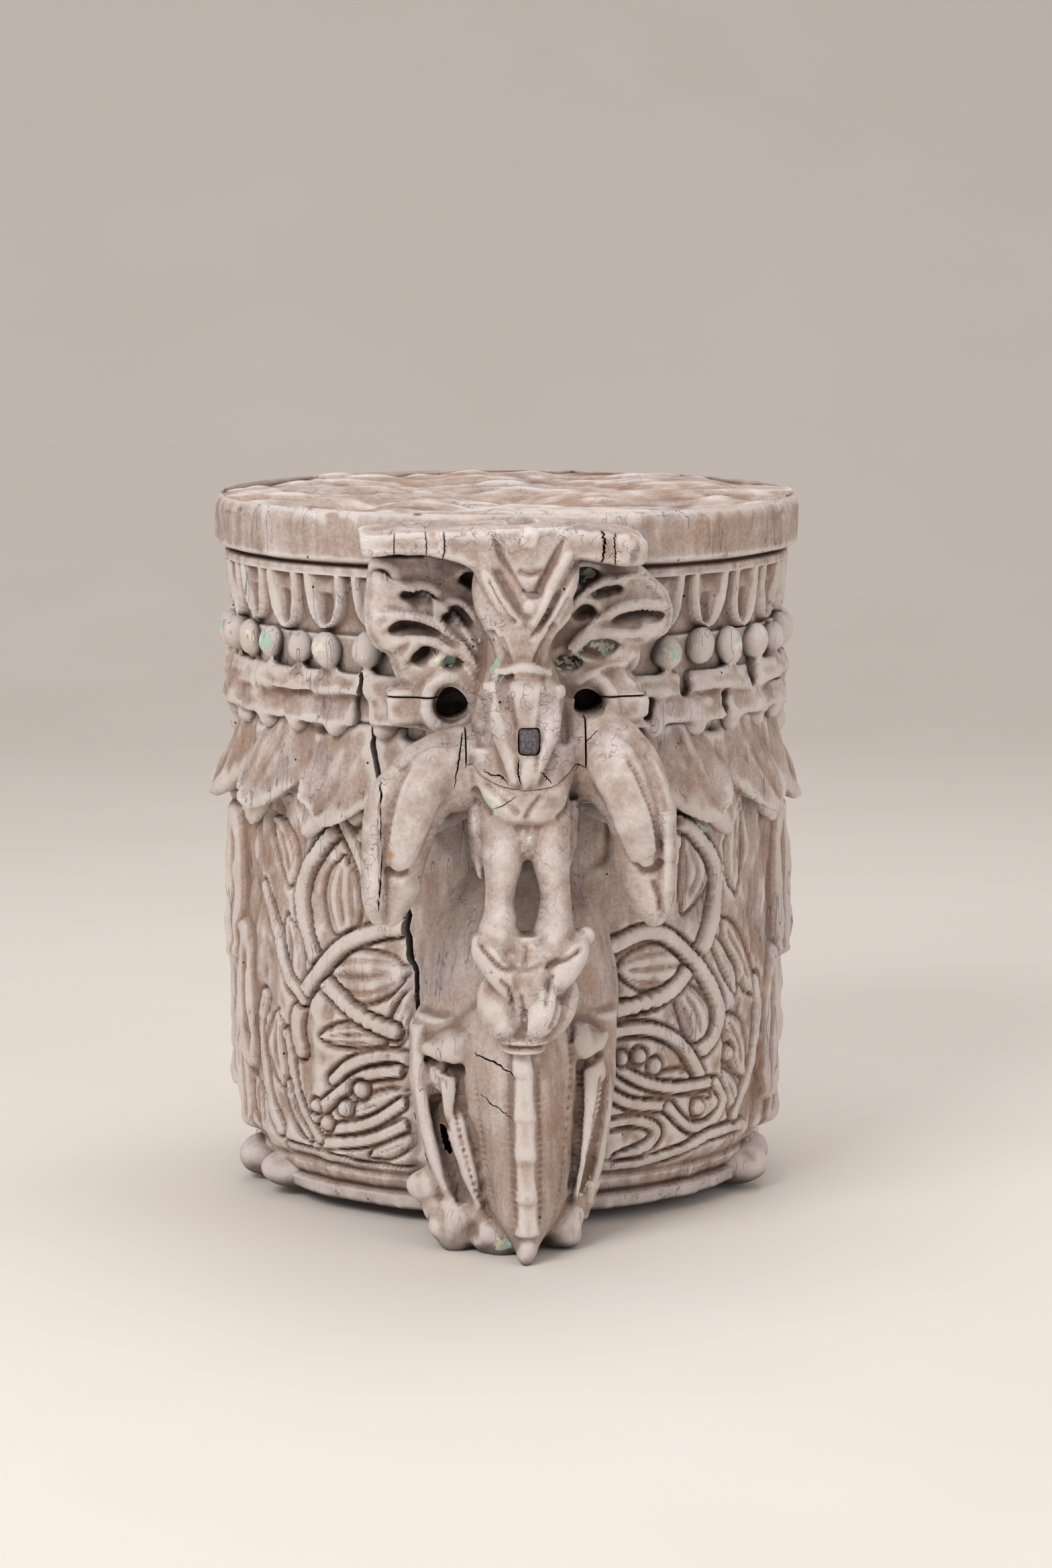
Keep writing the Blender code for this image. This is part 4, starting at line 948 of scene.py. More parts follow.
def slab(centre, half, low, high, slant, out, seed):
    """One broken plank end round the drum: a curved box whose lower edge slants, with ragged ends; u runs
    round the drum and v up."""
    u, v = np.meshgrid(np.linspace(-1.0, 1.0, 22), np.linspace(0.0, 1.0, 12))
    ragged = 0.05 * grid_noise(v * 5.0, np.sign(u) * 3.0, seed, seed) * np.abs(u) ** 6
    angle = math.radians(centre) + math.radians(half) * (u + ragged)
    foot = low + slant * u
    z = (foot + (high - foot) * v) * HEIGHT
    grain = 0.0012 * grid_noise(u * 2.0, v * 4.0, seed * 1.7, seed + 2)
    top_slope = 0.0035 * v
    reach = NECK_RADIUS + out + grain - top_slope - 0.0025 * u ** 2
    return shell(on_wall(reach, angle, z), on_wall(NECK_RADIUS - 0.020, angle, z))


def slab_rows():
    """Two tiers of broken planks round the drum, each with its own slant, reach and length."""
    bodies = []
    for band, seed, shift in ((UPPER_SLAB, 5, 0.2), (LOWER_SLAB, 9, 0.65)):
        for number in range(SLABS):
            centre = (number + 0.5 - shift) * 360.0 / SLABS
            rough = float(scatter(np.float64(number), seed))
            other = float(scatter(np.float64(number), seed + 7))
            bodies.append(slab(centre + 3.0 * (other - 0.5), 180.0 / SLABS * (0.90 + 0.08 * rough),
                               band[0] + 0.004 * (other - 0.5), band[1] + 0.004 * (rough - 0.5),
                               0.009 * (rough - 0.5), 0.0035 + 0.0045 * other, seed * 31 + number))
    return bodies


def lumpy(body, amount, size, seed):
    """A body swollen and dented round its middle by smooth noise of that size, metres."""
    points, quads, triangles = body
    middle = points.mean(axis=0)
    swell = 1.0 + amount * lattice((points - middle) / size + seed * 0.37, 5)
    return (points - middle) * swell[:, None] + middle, quads, triangles


def round_bead(degrees, level, radius, reach, stretch=(1.0, 1.0, 1.0)):
    """A lumpy ball whose centre lies at a reach (metres) and bearing from the drum's axis."""
    turn = math.radians(degrees)
    points, quads, triangles = ball(0.0, 0.0, 0.0, radius / HEIGHT, stretch, sides=24)
    centre = np.array([reach * math.sin(turn), -reach * math.cos(turn), level * HEIGHT])
    return lumpy((points - points.mean(axis=0) + centre, quads, triangles), 0.16, radius * 1.1, degrees)


def bead_row():
    """The row of beads, each a little different, and the small balls over the petals."""
    numbers = np.arange(BEADS)
    sizes = 0.0086 + 0.0016 * scatter(numbers, 3)
    drops = 0.008 * (scatter(numbers, 6) - 0.5)
    turns = (numbers + 0.5) * 360.0 / BEADS + 2.0 * (scatter(numbers, 8) - 0.5)
    beads = [round_bead(t, BEAD_LEVEL + d, s, NECK_RADIUS - 0.0015, (1.0, 1.0, 1.15))
             for t, d, s in zip(turns, drops, sizes)]
    numbers = np.arange(2 * PETALS)
    turns = (numbers + 0.5) * 180.0 / PETALS
    beads += [round_bead(t, PETAL_TOP - 0.008 + 0.006 * s, 0.0066 + 0.0016 * s, BODY_RADIUS + 0.002)
              for t, s in zip(turns, scatter(numbers, 12))]
    return beads


def petal(centre, half, top, tip, curl, lean, seed):
    """A drooping leaf: u across, v down. Its half width is (1 - v^3.2)^0.5, it leaves the drum as v^1.5
    towards the tip and leans over to one side, bends back at both edges as u^2, and has a sunk midrib and a
    thick lip; the back grid lies inside the drum."""
    u, v = np.meshgrid(np.linspace(-1.0, 1.0, 34), np.linspace(0.0, 0.995, 44))
    wide = np.sqrt(np.clip(1.0 - v ** 3.2, 0.0, 1.0)) * (0.86 + 0.14 * np.sin(v * 2.6))
    angle = math.radians(centre) + math.radians(half) * u * wide + math.radians(lean) * v ** 1.4
    z = (top + (tip - top) * (v - 0.10 * u * np.sign(lean) * v)) * HEIGHT
    ripple = 0.0016 * grid_noise(u * 1.8, v * 2.5, seed, seed)
    out = 0.0020 + curl * v ** 1.5 - 0.0070 * u ** 2 * (1.0 - 0.5 * v) - 0.0020 * ridge(u, 0.12) + ripple
    reach = BODY_RADIUS + out
    thick = 0.0078 + 0.014 * (1.0 - v) ** 0.8
    return shell(on_wall(reach, angle, z), on_wall(reach - thick, angle, z + 0.0030 * v))


def petal_row():
    """Large leaves round the drum, leaning away from the front, and smaller ones between and behind them."""
    bodies = []
    for number in range(PETALS):
        rough = float(scatter(np.float64(number), 11))
        centre = (number + 0.5) * 360.0 / PETALS - 180.0 + 3.0 * (rough - 0.5)
        lean = 9.0 if centre > 0.0 else -9.0
        if abs(centre) > 150.0:
            lean = 0.5 * lean
        bodies.append(petal(centre, 180.0 / PETALS * 0.99, PETAL_TOP,
                            PETAL_TIP + 0.014 + 0.020 * (rough - 0.5),
                            0.0165 + 0.005 * rough, lean, number + 60))
        bodies.append(petal(centre + 180.0 / PETALS, 180.0 / PETALS * 0.70, PETAL_TOP - 0.02,
                            PETAL_TIP - 0.008, 0.0065, lean * 0.6, number + 90))
    return bodies


# ---- pod -----------------------------------------------------------------------------------------------

def pod_bodies():
    """The pendant pod: dome, keel, a ridge of stepped blocks, side leaves, and ball lobes at its foot."""
    bodies = [limb([(0, 0.36, 0.530, 0.020, 0.04), (0, 0.36, 0.505, 0.070, 0.08),
                    (0, 0.36, 0.44, 0.120, 0.115), (0, 0.36, 0.35, 0.142, 0.13),
                    (0, 0.36, 0.25, 0.136, 0.135), (0, 0.36, 0.15, 0.108, 0.135),
                    (0, 0.36, 0.06, 0.086, 0.14), (0, 0.36, 0.012, 0.066, 0.14)], sides=64, steps=80)]
    bodies.append(limb([(-0.004, 0.46, 0.345, 0.052, 0.066), (-0.006, 0.46, 0.300, 0.086, 0.092),
                        (-0.006, 0.46, 0.250, 0.092, 0.104), (-0.001, 0.462, 0.180, 0.083, 0.112),
                        (0.003, 0.47, 0.105, 0.071, 0.112), (0.002, 0.485, 0.056, 0.056, 0.104),
                        (0.001, 0.51, 0.015, 0.026, 0.080), (0, 0.545, -0.004, 0.010, 0.046)],
                       sides=56, steps=72, power=1.65))
    return bodies + ridge_bodies() + sepal_bodies() + lobe_bodies()


def ridge_bodies():
    """The ridge's blocks, one under the other: each widens and comes forward to a lip above the next."""
    levels = [0.300, 0.254, 0.192, 0.139, 0.083, 0.036]
    middles = [-0.006, -0.003, -0.002, -0.001, 0.001, 0.003]
    fronts = [0.568, 0.574, 0.581, 0.586, 0.590, 0.590]
    bodies = []
    for i in range(len(levels) - 1):
        high, low, x, f = levels[i], levels[i + 1], middles[i], fronts[i]
        wide = 0.0150 + 0.0006 * i
        bodies.append(limb([(x, f - 0.034, high + 0.004, wide * 0.86, 0.036),
                            (x, f - 0.032, high - 0.004, wide * 0.90, 0.036),
                            (x, f - 0.030, (high + low) / 2, wide * 0.94, 0.037),
                            (x, f - 0.028, low + 0.010, wide * 1.04, 0.040),
                            (x, f - 0.028, low + 0.002, wide * 1.10, 0.041),
                            (x, f - 0.030, low - 0.002, wide * 0.98, 0.036)],
                           sides=32, steps=26, power=4.5))
    bodies.append(limb([(0.003, 0.555, 0.040, 0.0155, 0.036), (0.002, 0.557, 0.022, 0.0165, 0.040),
                        (-0.001, 0.566, 0.006, 0.0140, 0.032), (-0.001, 0.578, -0.004, 0.0060, 0.016)],
                       sides=32, steps=24, power=2.4))
    return bodies


def sepal_bodies():
    """Pointed side leaves over each other on a low wall: a cap, a leaf under it, a long one down the keel and
    an outer one."""
    left = [
        [(-0.104, 0.405, 0.310, 0.046, 0.055), (-0.106, 0.412, 0.220, 0.042, 0.056),
         (-0.098, 0.420, 0.150, 0.036, 0.057), (-0.088, 0.430, 0.080, 0.030, 0.057),
         (-0.080, 0.430, 0.030, 0.020, 0.054)],
        [(-0.080, 0.480, 0.276, 0.026, 0.034), (-0.104, 0.478, 0.273, 0.026, 0.036),
         (-0.126, 0.466, 0.271, 0.016, 0.032), (-0.142, 0.452, 0.273, 0.004, 0.016)],
        [(-0.108, 0.462, 0.262, 0.015, 0.032), (-0.110, 0.470, 0.235, 0.022, 0.034),
         (-0.106, 0.476, 0.205, 0.020, 0.034), (-0.102, 0.480, 0.172, 0.006, 0.022)],
        [(-0.102, 0.462, 0.205, 0.010, 0.030), (-0.092, 0.482, 0.165, 0.017, 0.036),
         (-0.078, 0.492, 0.112, 0.015, 0.036), (-0.064, 0.498, 0.060, 0.006, 0.026)],
        [(-0.146, 0.420, 0.300, 0.012, 0.032), (-0.143, 0.430, 0.230, 0.017, 0.036),
         (-0.134, 0.440, 0.160, 0.015, 0.038), (-0.118, 0.452, 0.100, 0.012, 0.038),
         (-0.102, 0.458, 0.056, 0.008, 0.032)],
    ]
    right = [
        [(0.098, 0.405, 0.315, 0.042, 0.055), (0.098, 0.412, 0.220, 0.037, 0.056),
         (0.092, 0.420, 0.150, 0.032, 0.057), (0.084, 0.430, 0.080, 0.026, 0.057),
         (0.078, 0.430, 0.030, 0.018, 0.052)],
        [(0.070, 0.480, 0.284, 0.028, 0.034), (0.092, 0.476, 0.281, 0.026, 0.036),
         (0.110, 0.464, 0.284, 0.015, 0.030), (0.123, 0.450, 0.290, 0.004, 0.016)],
        [(0.092, 0.460, 0.266, 0.016, 0.032), (0.097, 0.470, 0.235, 0.022, 0.034),
         (0.095, 0.478, 0.190, 0.019, 0.036), (0.086, 0.486, 0.130, 0.014, 0.036),
         (0.074, 0.494, 0.072, 0.006, 0.026)],
        [(0.100, 0.440, 0.205, 0.008, 0.026), (0.106, 0.448, 0.172, 0.013, 0.030),
         (0.111, 0.448, 0.156, 0.004, 0.014)],
        [(0.120, 0.420, 0.280, 0.010, 0.032), (0.117, 0.432, 0.190, 0.013, 0.036),
         (0.106, 0.446, 0.110, 0.011, 0.038), (0.096, 0.452, 0.056, 0.007, 0.032)],
    ]
    return [limb(stations, sides=32, steps=44, power=2.3) for stations in left + right]


def lobe_bodies():
    """Ball lobes under the pod, and low lumpy feet under the two sides and the back."""
    lobes = [(-0.133, 0.455, 0.078, 0.026, (1.1, 1.0, 1.0)), (-0.095, 0.487, 0.034, 0.034, (1.05, 1.0, 1.1)),
             (-0.038, 0.512, 0.020, 0.032, (1.15, 1.0, 0.9)), (0.048, 0.490, 0.028, 0.033, (1.15, 1.0, 0.95)),
             (0.084, 0.464, 0.074, 0.026, (1.0, 1.0, 1.2)), (-0.120, 0.455, 0.050, 0.024, (1.0, 1.0, 1.2)),
             (-0.066, 0.490, 0.050, 0.026, (1.0, 1.0, 1.2))]
    bodies = [lumpy(ball(*lobe, sides=40), 0.20, 0.010, number) for number, lobe in enumerate(lobes)]
    for degrees, size in ((-84, 0.0150), (-66, 0.0135), (68, 0.0150), (86, 0.0120), (104, 0.0140),
                          (-106, 0.0130),
                          (168, 0.0150), (192, 0.0135)):
        bodies.append(round_bead(degrees, 0.020, size, BASE_RADIUS - 0.004, (1.45, 1.2, 0.95)))
    return bodies


# Cut lines: path of (x, z), width and height in metres (below 0 is a groove), and the f that they lie past
POD_STROKES = [
    ([(-0.074, 0.262), (-0.066, 0.190), (-0.053, 0.110), (-0.040, 0.045)], 0.0016, -0.0016, 0.48),
    ([(0.064, 0.300), (0.067, 0.240), (0.058, 0.150), (0.050, 0.085), (0.034, 0.030)], 0.0016, -0.0016, 0.48),
    ([(-0.022, 0.270), (-0.024, 0.200), (-0.020, 0.120), (-0.016, 0.040)], 0.0022, -0.0018, 0.50),
    ([(0.018, 0.270), (0.020, 0.200), (0.022, 0.120), (0.020, 0.040)], 0.0022, -0.0018, 0.50),
    ([(-0.138, 0.258), (-0.118, 0.250), (-0.090, 0.246)], 0.0022, -0.0040, 0.42),
    ([(0.080, 0.252), (0.096, 0.256), (0.114, 0.264)], 0.0022, -0.0040, 0.42),
    ([(-0.092, 0.262), (-0.090, 0.220), (-0.094, 0.180), (-0.080, 0.120), (-0.060, 0.062)], 0.0018, -0.0030,
     0.44),
    ([(0.078, 0.268), (0.080, 0.200), (0.074, 0.130), (0.066, 0.080)], 0.0018, -0.0030, 0.44),
    ([(-0.125, 0.245), (-0.122, 0.190), (-0.108, 0.160)], 0.0020, -0.0034, 0.40),
    ([(0.113, 0.240), (0.106, 0.190), (0.092, 0.120)], 0.0020, -0.0034, 0.40),
    ([(-0.120, 0.252), (-0.100, 0.247), (-0.084, 0.250)], 0.0026, -0.0050, 0.42),
    ([(-0.128, 0.235), (-0.122, 0.180), (-0.104, 0.120), (-0.088, 0.060)], 0.0026, -0.0050, 0.40),
    ([(0.116, 0.235), (0.108, 0.175), (0.092, 0.105), (0.082, 0.060)], 0.0026, -0.0050, 0.40),
]


# ---- bracket -------------------------------------------------------------------------------------------

def plate_bodies():
    """The shelf plate: a thick ledge on each side of the crest, rounded at its ends, its top and bottom lines
    stepping a little from one end-grain block to the next, over a core that sits in the drum."""
    bodies = [block((-0.128, 0.364, 0.607), (0.128, 0.46, 0.985))]
    left = [(-0.228, 0.500, 0.971, 0.0110, 0.086), (-0.224, 0.505, 0.9715, 0.0145, 0.092),
            (-0.205, 0.505, 0.973, 0.0152, 0.095), (-0.182, 0.505, 0.975, 0.0152, 0.096),
            (-0.176, 0.505, 0.976, 0.0160, 0.096), (-0.140, 0.505, 0.9755, 0.0165, 0.096),
            (-0.134, 0.505, 0.9760, 0.0170, 0.095), (-0.112, 0.505, 0.9735, 0.0190, 0.096),
            (-0.086, 0.505, 0.9695, 0.0235, 0.096), (-0.060, 0.505, 0.9650, 0.0290, 0.095),
            (-0.020, 0.500, 0.9640, 0.0300, 0.092)]
    right = [(0.020, 0.500, 0.969, 0.0260, 0.092), (0.064, 0.505, 0.9735, 0.0220, 0.094),
             (0.100, 0.505, 0.9700, 0.0220, 0.095), (0.106, 0.505, 0.9690, 0.0230, 0.092),
             (0.120, 0.505, 0.9670, 0.0225, 0.093), (0.126, 0.505, 0.9660, 0.0225, 0.096),
             (0.142, 0.505, 0.9640, 0.0220, 0.094), (0.148, 0.500, 0.9625, 0.0205, 0.090),
             (0.161, 0.495, 0.9600, 0.0180, 0.084), (0.169, 0.488, 0.9590, 0.0120, 0.070)]
    for stations in (left, right):
        bodies.append(limb(stations, sides=64, steps=120, power=7.0))
    return bodies


def head_bodies():
    """Trunk, crest block with its leaves and beads, collar, and the head with its beak."""
    bodies = [limb([(0, 0.45, 0.985, 0.062, 0.10), (0, 0.45, 0.90, 0.062, 0.105),
                    (-0.004, 0.45, 0.850, 0.050, 0.105), (-0.006, 0.45, 0.812, 0.047, 0.108),
                    (-0.004, 0.45, 0.780, 0.058, 0.120), (-0.002, 0.448, 0.740, 0.071, 0.134),
                    (-0.002, 0.445, 0.700, 0.079, 0.146), (-0.002, 0.445, 0.655, 0.080, 0.152),
                    (-0.002, 0.445, 0.625, 0.076, 0.140), (0, 0.46, 0.606, 0.060, 0.100)], sides=64,
                   steps=110, power=2.35)]
    bodies.append(limb([(-0.003, 0.53, 0.955, 0.062, 0.052), (-0.003, 0.53, 0.925, 0.068, 0.057),
                        (-0.003, 0.53, 0.900, 0.070, 0.060), (-0.004, 0.53, 0.876, 0.066, 0.060),
                        (-0.005, 0.53, 0.856, 0.053, 0.057), (-0.005, 0.53, 0.838, 0.042, 0.053),
                        (-0.004, 0.53, 0.820, 0.036, 0.049), (-0.004, 0.53, 0.804, 0.034, 0.048)], sides=56,
                       steps=70, power=3.0))
    bodies.append(limb([(0.002, 0.55, 0.995, 0.076, 0.045), (0.003, 0.555, 0.970, 0.066, 0.047),
                        (0.003, 0.560, 0.940, 0.050, 0.045), (0.003, 0.562, 0.910, 0.034, 0.040),
                        (0.002, 0.562, 0.884, 0.021, 0.034), (0.001, 0.560, 0.858, 0.008, 0.026)],
                       sides=48, steps=60, power=2.2))
    for path in ([(-0.078, 0.550, 0.972, 0.012, 0.034), (-0.062, 0.566, 0.945, 0.014, 0.034),
                  (-0.044, 0.574, 0.912, 0.014, 0.032), (-0.026, 0.578, 0.886, 0.012, 0.028),
                  (-0.008, 0.578, 0.868, 0.006, 0.020)],
                 [(0.074, 0.552, 0.985, 0.010, 0.034), (0.056, 0.568, 0.958, 0.014, 0.036),
                  (0.038, 0.580, 0.928, 0.014, 0.034), (0.022, 0.584, 0.896, 0.012, 0.030),
                  (0.008, 0.580, 0.866, 0.006, 0.020)],
                 [(0.072, 0.548, 0.944, 0.004, 0.016), (0.062, 0.560, 0.928, 0.013, 0.034),
                  (0.050, 0.566, 0.904, 0.016, 0.036), (0.036, 0.566, 0.876, 0.013, 0.032),
                  (0.020, 0.562, 0.852, 0.006, 0.022)]):
        bodies.append(limb(path, sides=28, steps=44, power=2.0))
    bodies += [ball(0.003, 0.588, 0.979, 0.019, sides=32), ball(0.008, 0.600, 0.929, 0.0085),
               ball(0.006, 0.596, 0.893, 0.0140)]
    bodies.append(limb([(-0.048, 0.545, 0.798, 0.006, 0.034), (-0.028, 0.562, 0.803, 0.0085, 0.036),
                        (-0.006, 0.567, 0.809, 0.010, 0.036), (0.014, 0.564, 0.806, 0.0085, 0.036),
                        (0.035, 0.545, 0.798, 0.006, 0.034)], sides=28, steps=40, power=2.6))
    bodies.append(limb([(-0.002, 0.560, 0.800, 0.032, 0.028), (-0.002, 0.568, 0.782, 0.048, 0.033),
                        (-0.002, 0.574, 0.756, 0.051, 0.034), (-0.003, 0.580, 0.724, 0.043, 0.032),
                        (-0.005, 0.586, 0.692, 0.031, 0.027), (-0.006, 0.590, 0.664, 0.019, 0.018),
                        (-0.007, 0.590, 0.650, 0.008, 0.010)], sides=56, steps=66, power=2.2))
    for path in ([(-0.047, 0.568, 0.790, 0.012, 0.022), (-0.040, 0.580, 0.754, 0.017, 0.025),
                  (-0.029, 0.590, 0.714, 0.016, 0.023), (-0.021, 0.597, 0.680, 0.012, 0.016),
                  (-0.017, 0.598, 0.655, 0.006, 0.011)],
                 [(0.042, 0.566, 0.784, 0.012, 0.022), (0.036, 0.578, 0.750, 0.017, 0.025),
                  (0.025, 0.590, 0.712, 0.015, 0.023), (0.014, 0.597, 0.678, 0.010, 0.016),
                  (0.008, 0.598, 0.652, 0.005, 0.011)]):
        bodies.append(limb(path, sides=28, steps=40))
    bodies.append(limb([(-0.001, 0.582, 0.800, 0.016, 0.016), (-0.001, 0.596, 0.783, 0.026, 0.022),
                        (0.000, 0.598, 0.762, 0.025, 0.020), (0.001, 0.600, 0.738, 0.019, 0.015),
                        (0.002, 0.600, 0.712, 0.015, 0.012)], sides=32, steps=40, power=2.3))
    bodies.append(limb([(0.003, 0.600, 0.704, 0.012, 0.010), (0.002, 0.604, 0.684, 0.011, 0.011),
                        (-0.001, 0.605, 0.664, 0.009, 0.010), (-0.003, 0.602, 0.648, 0.004, 0.007)], sides=24,
                       steps=24, power=2.6))
    return bodies


# Outline of each volute fan from the shelf down to the joint, (x, z), shares
LEFT_FAN = [(-0.212, 0.945), (-0.219, 0.905), (-0.221, 0.880), (-0.220, 0.848), (-0.207, 0.824),
            (-0.188, 0.812), (-0.182, 0.795), (-0.176, 0.780), (-0.160, 0.768), (-0.150, 0.750),
            (-0.120, 0.735), (-0.080, 0.730)]
RIGHT_FAN = [(0.158, 0.940), (0.190, 0.912), (0.206, 0.895), (0.213, 0.868), (0.207, 0.842), (0.184, 0.829),
             (0.167, 0.820), (0.166, 0.808), (0.150, 0.794), (0.156, 0.782), (0.168, 0.766), (0.120, 0.745)]
# Scoops in the volutes: the arch over each as a path of (x, z), its height and its depth, shares
LEFT_SCOOPS = [
    ([(-0.174, 0.896), (-0.160, 0.904), (-0.138, 0.905), (-0.115, 0.892)], 0.026, 0.034),
    ([(-0.192, 0.848), (-0.172, 0.860), (-0.145, 0.861), (-0.112, 0.846)], 0.026, 0.034),
    ([(-0.160, 0.806), (-0.146, 0.824), (-0.130, 0.829), (-0.115, 0.820)], 0.040, 0.036),
    ([(-0.116, 0.800), (-0.104, 0.814), (-0.090, 0.815), (-0.076, 0.802)], 0.028, 0.034),
    ([(-0.116, 0.862), (-0.104, 0.881), (-0.086, 0.880), (-0.066, 0.856)], 0.036, 0.036),
    ([(-0.090, 0.918), (-0.078, 0.926), (-0.062, 0.922), (-0.056, 0.906)], 0.030, 0.040),
    ([(-0.218, 0.922), (-0.206, 0.932), (-0.190, 0.930), (-0.178, 0.918)], 0.020, 0.020),
]
RIGHT_SCOOPS = [
    ([(0.094, 0.896), (0.108, 0.910), (0.126, 0.913), (0.144, 0.904)], 0.024, 0.034),
    ([(0.118, 0.858), (0.140, 0.874), (0.170, 0.880), (0.203, 0.868)], 0.030, 0.032),
    ([(0.070, 0.818), (0.086, 0.836), (0.110, 0.841), (0.138, 0.828)], 0.042, 0.040),
    ([(0.038, 0.800), (0.052, 0.816), (0.068, 0.817), (0.086, 0.804)], 0.034, 0.036),
    ([(0.066, 0.866), (0.078, 0.880), (0.094, 0.882), (0.106, 0.870)], 0.026, 0.032),
    ([(0.058, 0.918), (0.070, 0.930), (0.090, 0.933), (0.110, 0.926)], 0.026, 0.036),
]


def scooped(x, z, scoops):
    """Depth and rim of curved scoops, shares: below each arch the floor drops at once and climbs back in a
    nearly straight slope over the scoop's height, fading to its ends as sin(pi t)^0.5; a rim stands over
    the arch."""
    flat_x = x.ravel()
    flat_z = z.ravel()
    change = np.zeros(len(flat_x))
    for path, height, depth in scoops:
        line = spline(path, 40)
        distance = np.hypot(flat_x[:, None] - line[None, :, 0], flat_z[:, None] - line[None, :, 1])
        nearest = distance.argmin(axis=1)
        gap = distance.min(axis=1)
        fade = np.sin(math.pi * (nearest + 0.5) / 40.0) ** 0.5
        below = np.where(flat_z < line[nearest, 1], gap, -gap)
        inside = smooth(below, -0.0005, 0.0030) * np.clip(1.0 - below / (1.2 * height * fade), 0.0,
                                                          1.0) ** 1.2
        change -= 1.25 * depth * fade * inside
        change += 0.0075 * fade * ridge(below + 0.0065, 0.0060)
    return change.reshape(x.shape)


def volute_fan(outline, side, scoops):
    """A leaf fan between the neck and an outline: t runs down the outline, s outwards. Its front leans back
    as s^2, rolls over at the outline and is scooped out under curved arches."""
    t = np.linspace(0.0, 1.0, 230)
    edge = spline(outline, 230)
    neck = np.stack([np.full(230, side * 0.030), 0.955 - 0.20 * t], -1)
    s = np.linspace(0.0, 1.0, 110)[:, None, None]
    grid = neck[None] * (1.0 - s) + edge[None] * s
    x, z = grid[..., 0], grid[..., 1]
    share = np.broadcast_to(s[..., 0], x.shape)
    front = 0.486 - 0.022 * share ** 2 - 0.016 * smooth(share, 0.90, 1.0) ** 2
    front = np.maximum(front + scooped(x, z, scoops), SIDE_BACK + 0.022)
    return shell(carved(x, front, z), carved(x, SIDE_BACK, z))


def ring_volute(side, x, z, out, thick):
    """A thick hoop round the eye of a volute: a rounded box carried round a circle."""
    turn = np.linspace(0.0, 2.0 * math.pi, 72)[:, None]
    tube = np.linspace(0.0, 2.0 * math.pi, 32, endpoint=False)
    reach = out + thick * np.sign(np.cos(tube)) * np.abs(np.cos(tube)) ** 0.6
    deep = 0.440 + 0.046 * np.sign(np.sin(tube)) * np.abs(np.sin(tube)) ** 0.6
    return capped(carved(side * x + reach * np.cos(turn), deep + 0.0 * turn, z + reach * np.sin(turn)))


def volute_bodies():
    """Both fans, their rings, and the blunt leaf ends beside the rings."""
    return [volute_fan(LEFT_FAN, -1, LEFT_SCOOPS), volute_fan(RIGHT_FAN, 1, RIGHT_SCOOPS),
            ring_volute(-1, 0.100, 0.748, 0.0355, 0.0130), ring_volute(1, 0.086, 0.745, 0.0395, 0.0140),
            limb([(-0.190, 0.436, 0.740, 0.020, 0.030), (-0.180, 0.438, 0.741, 0.025, 0.034),
                  (-0.150, 0.440, 0.744, 0.027, 0.036), (-0.130, 0.440, 0.745, 0.024, 0.036)], power=5.0),
            limb([(0.112, 0.440, 0.744, 0.026, 0.038), (0.140, 0.440, 0.742, 0.026, 0.038),
                  (0.166, 0.438, 0.742, 0.021, 0.036), (0.179, 0.436, 0.741, 0.012, 0.032)], power=5.0)]


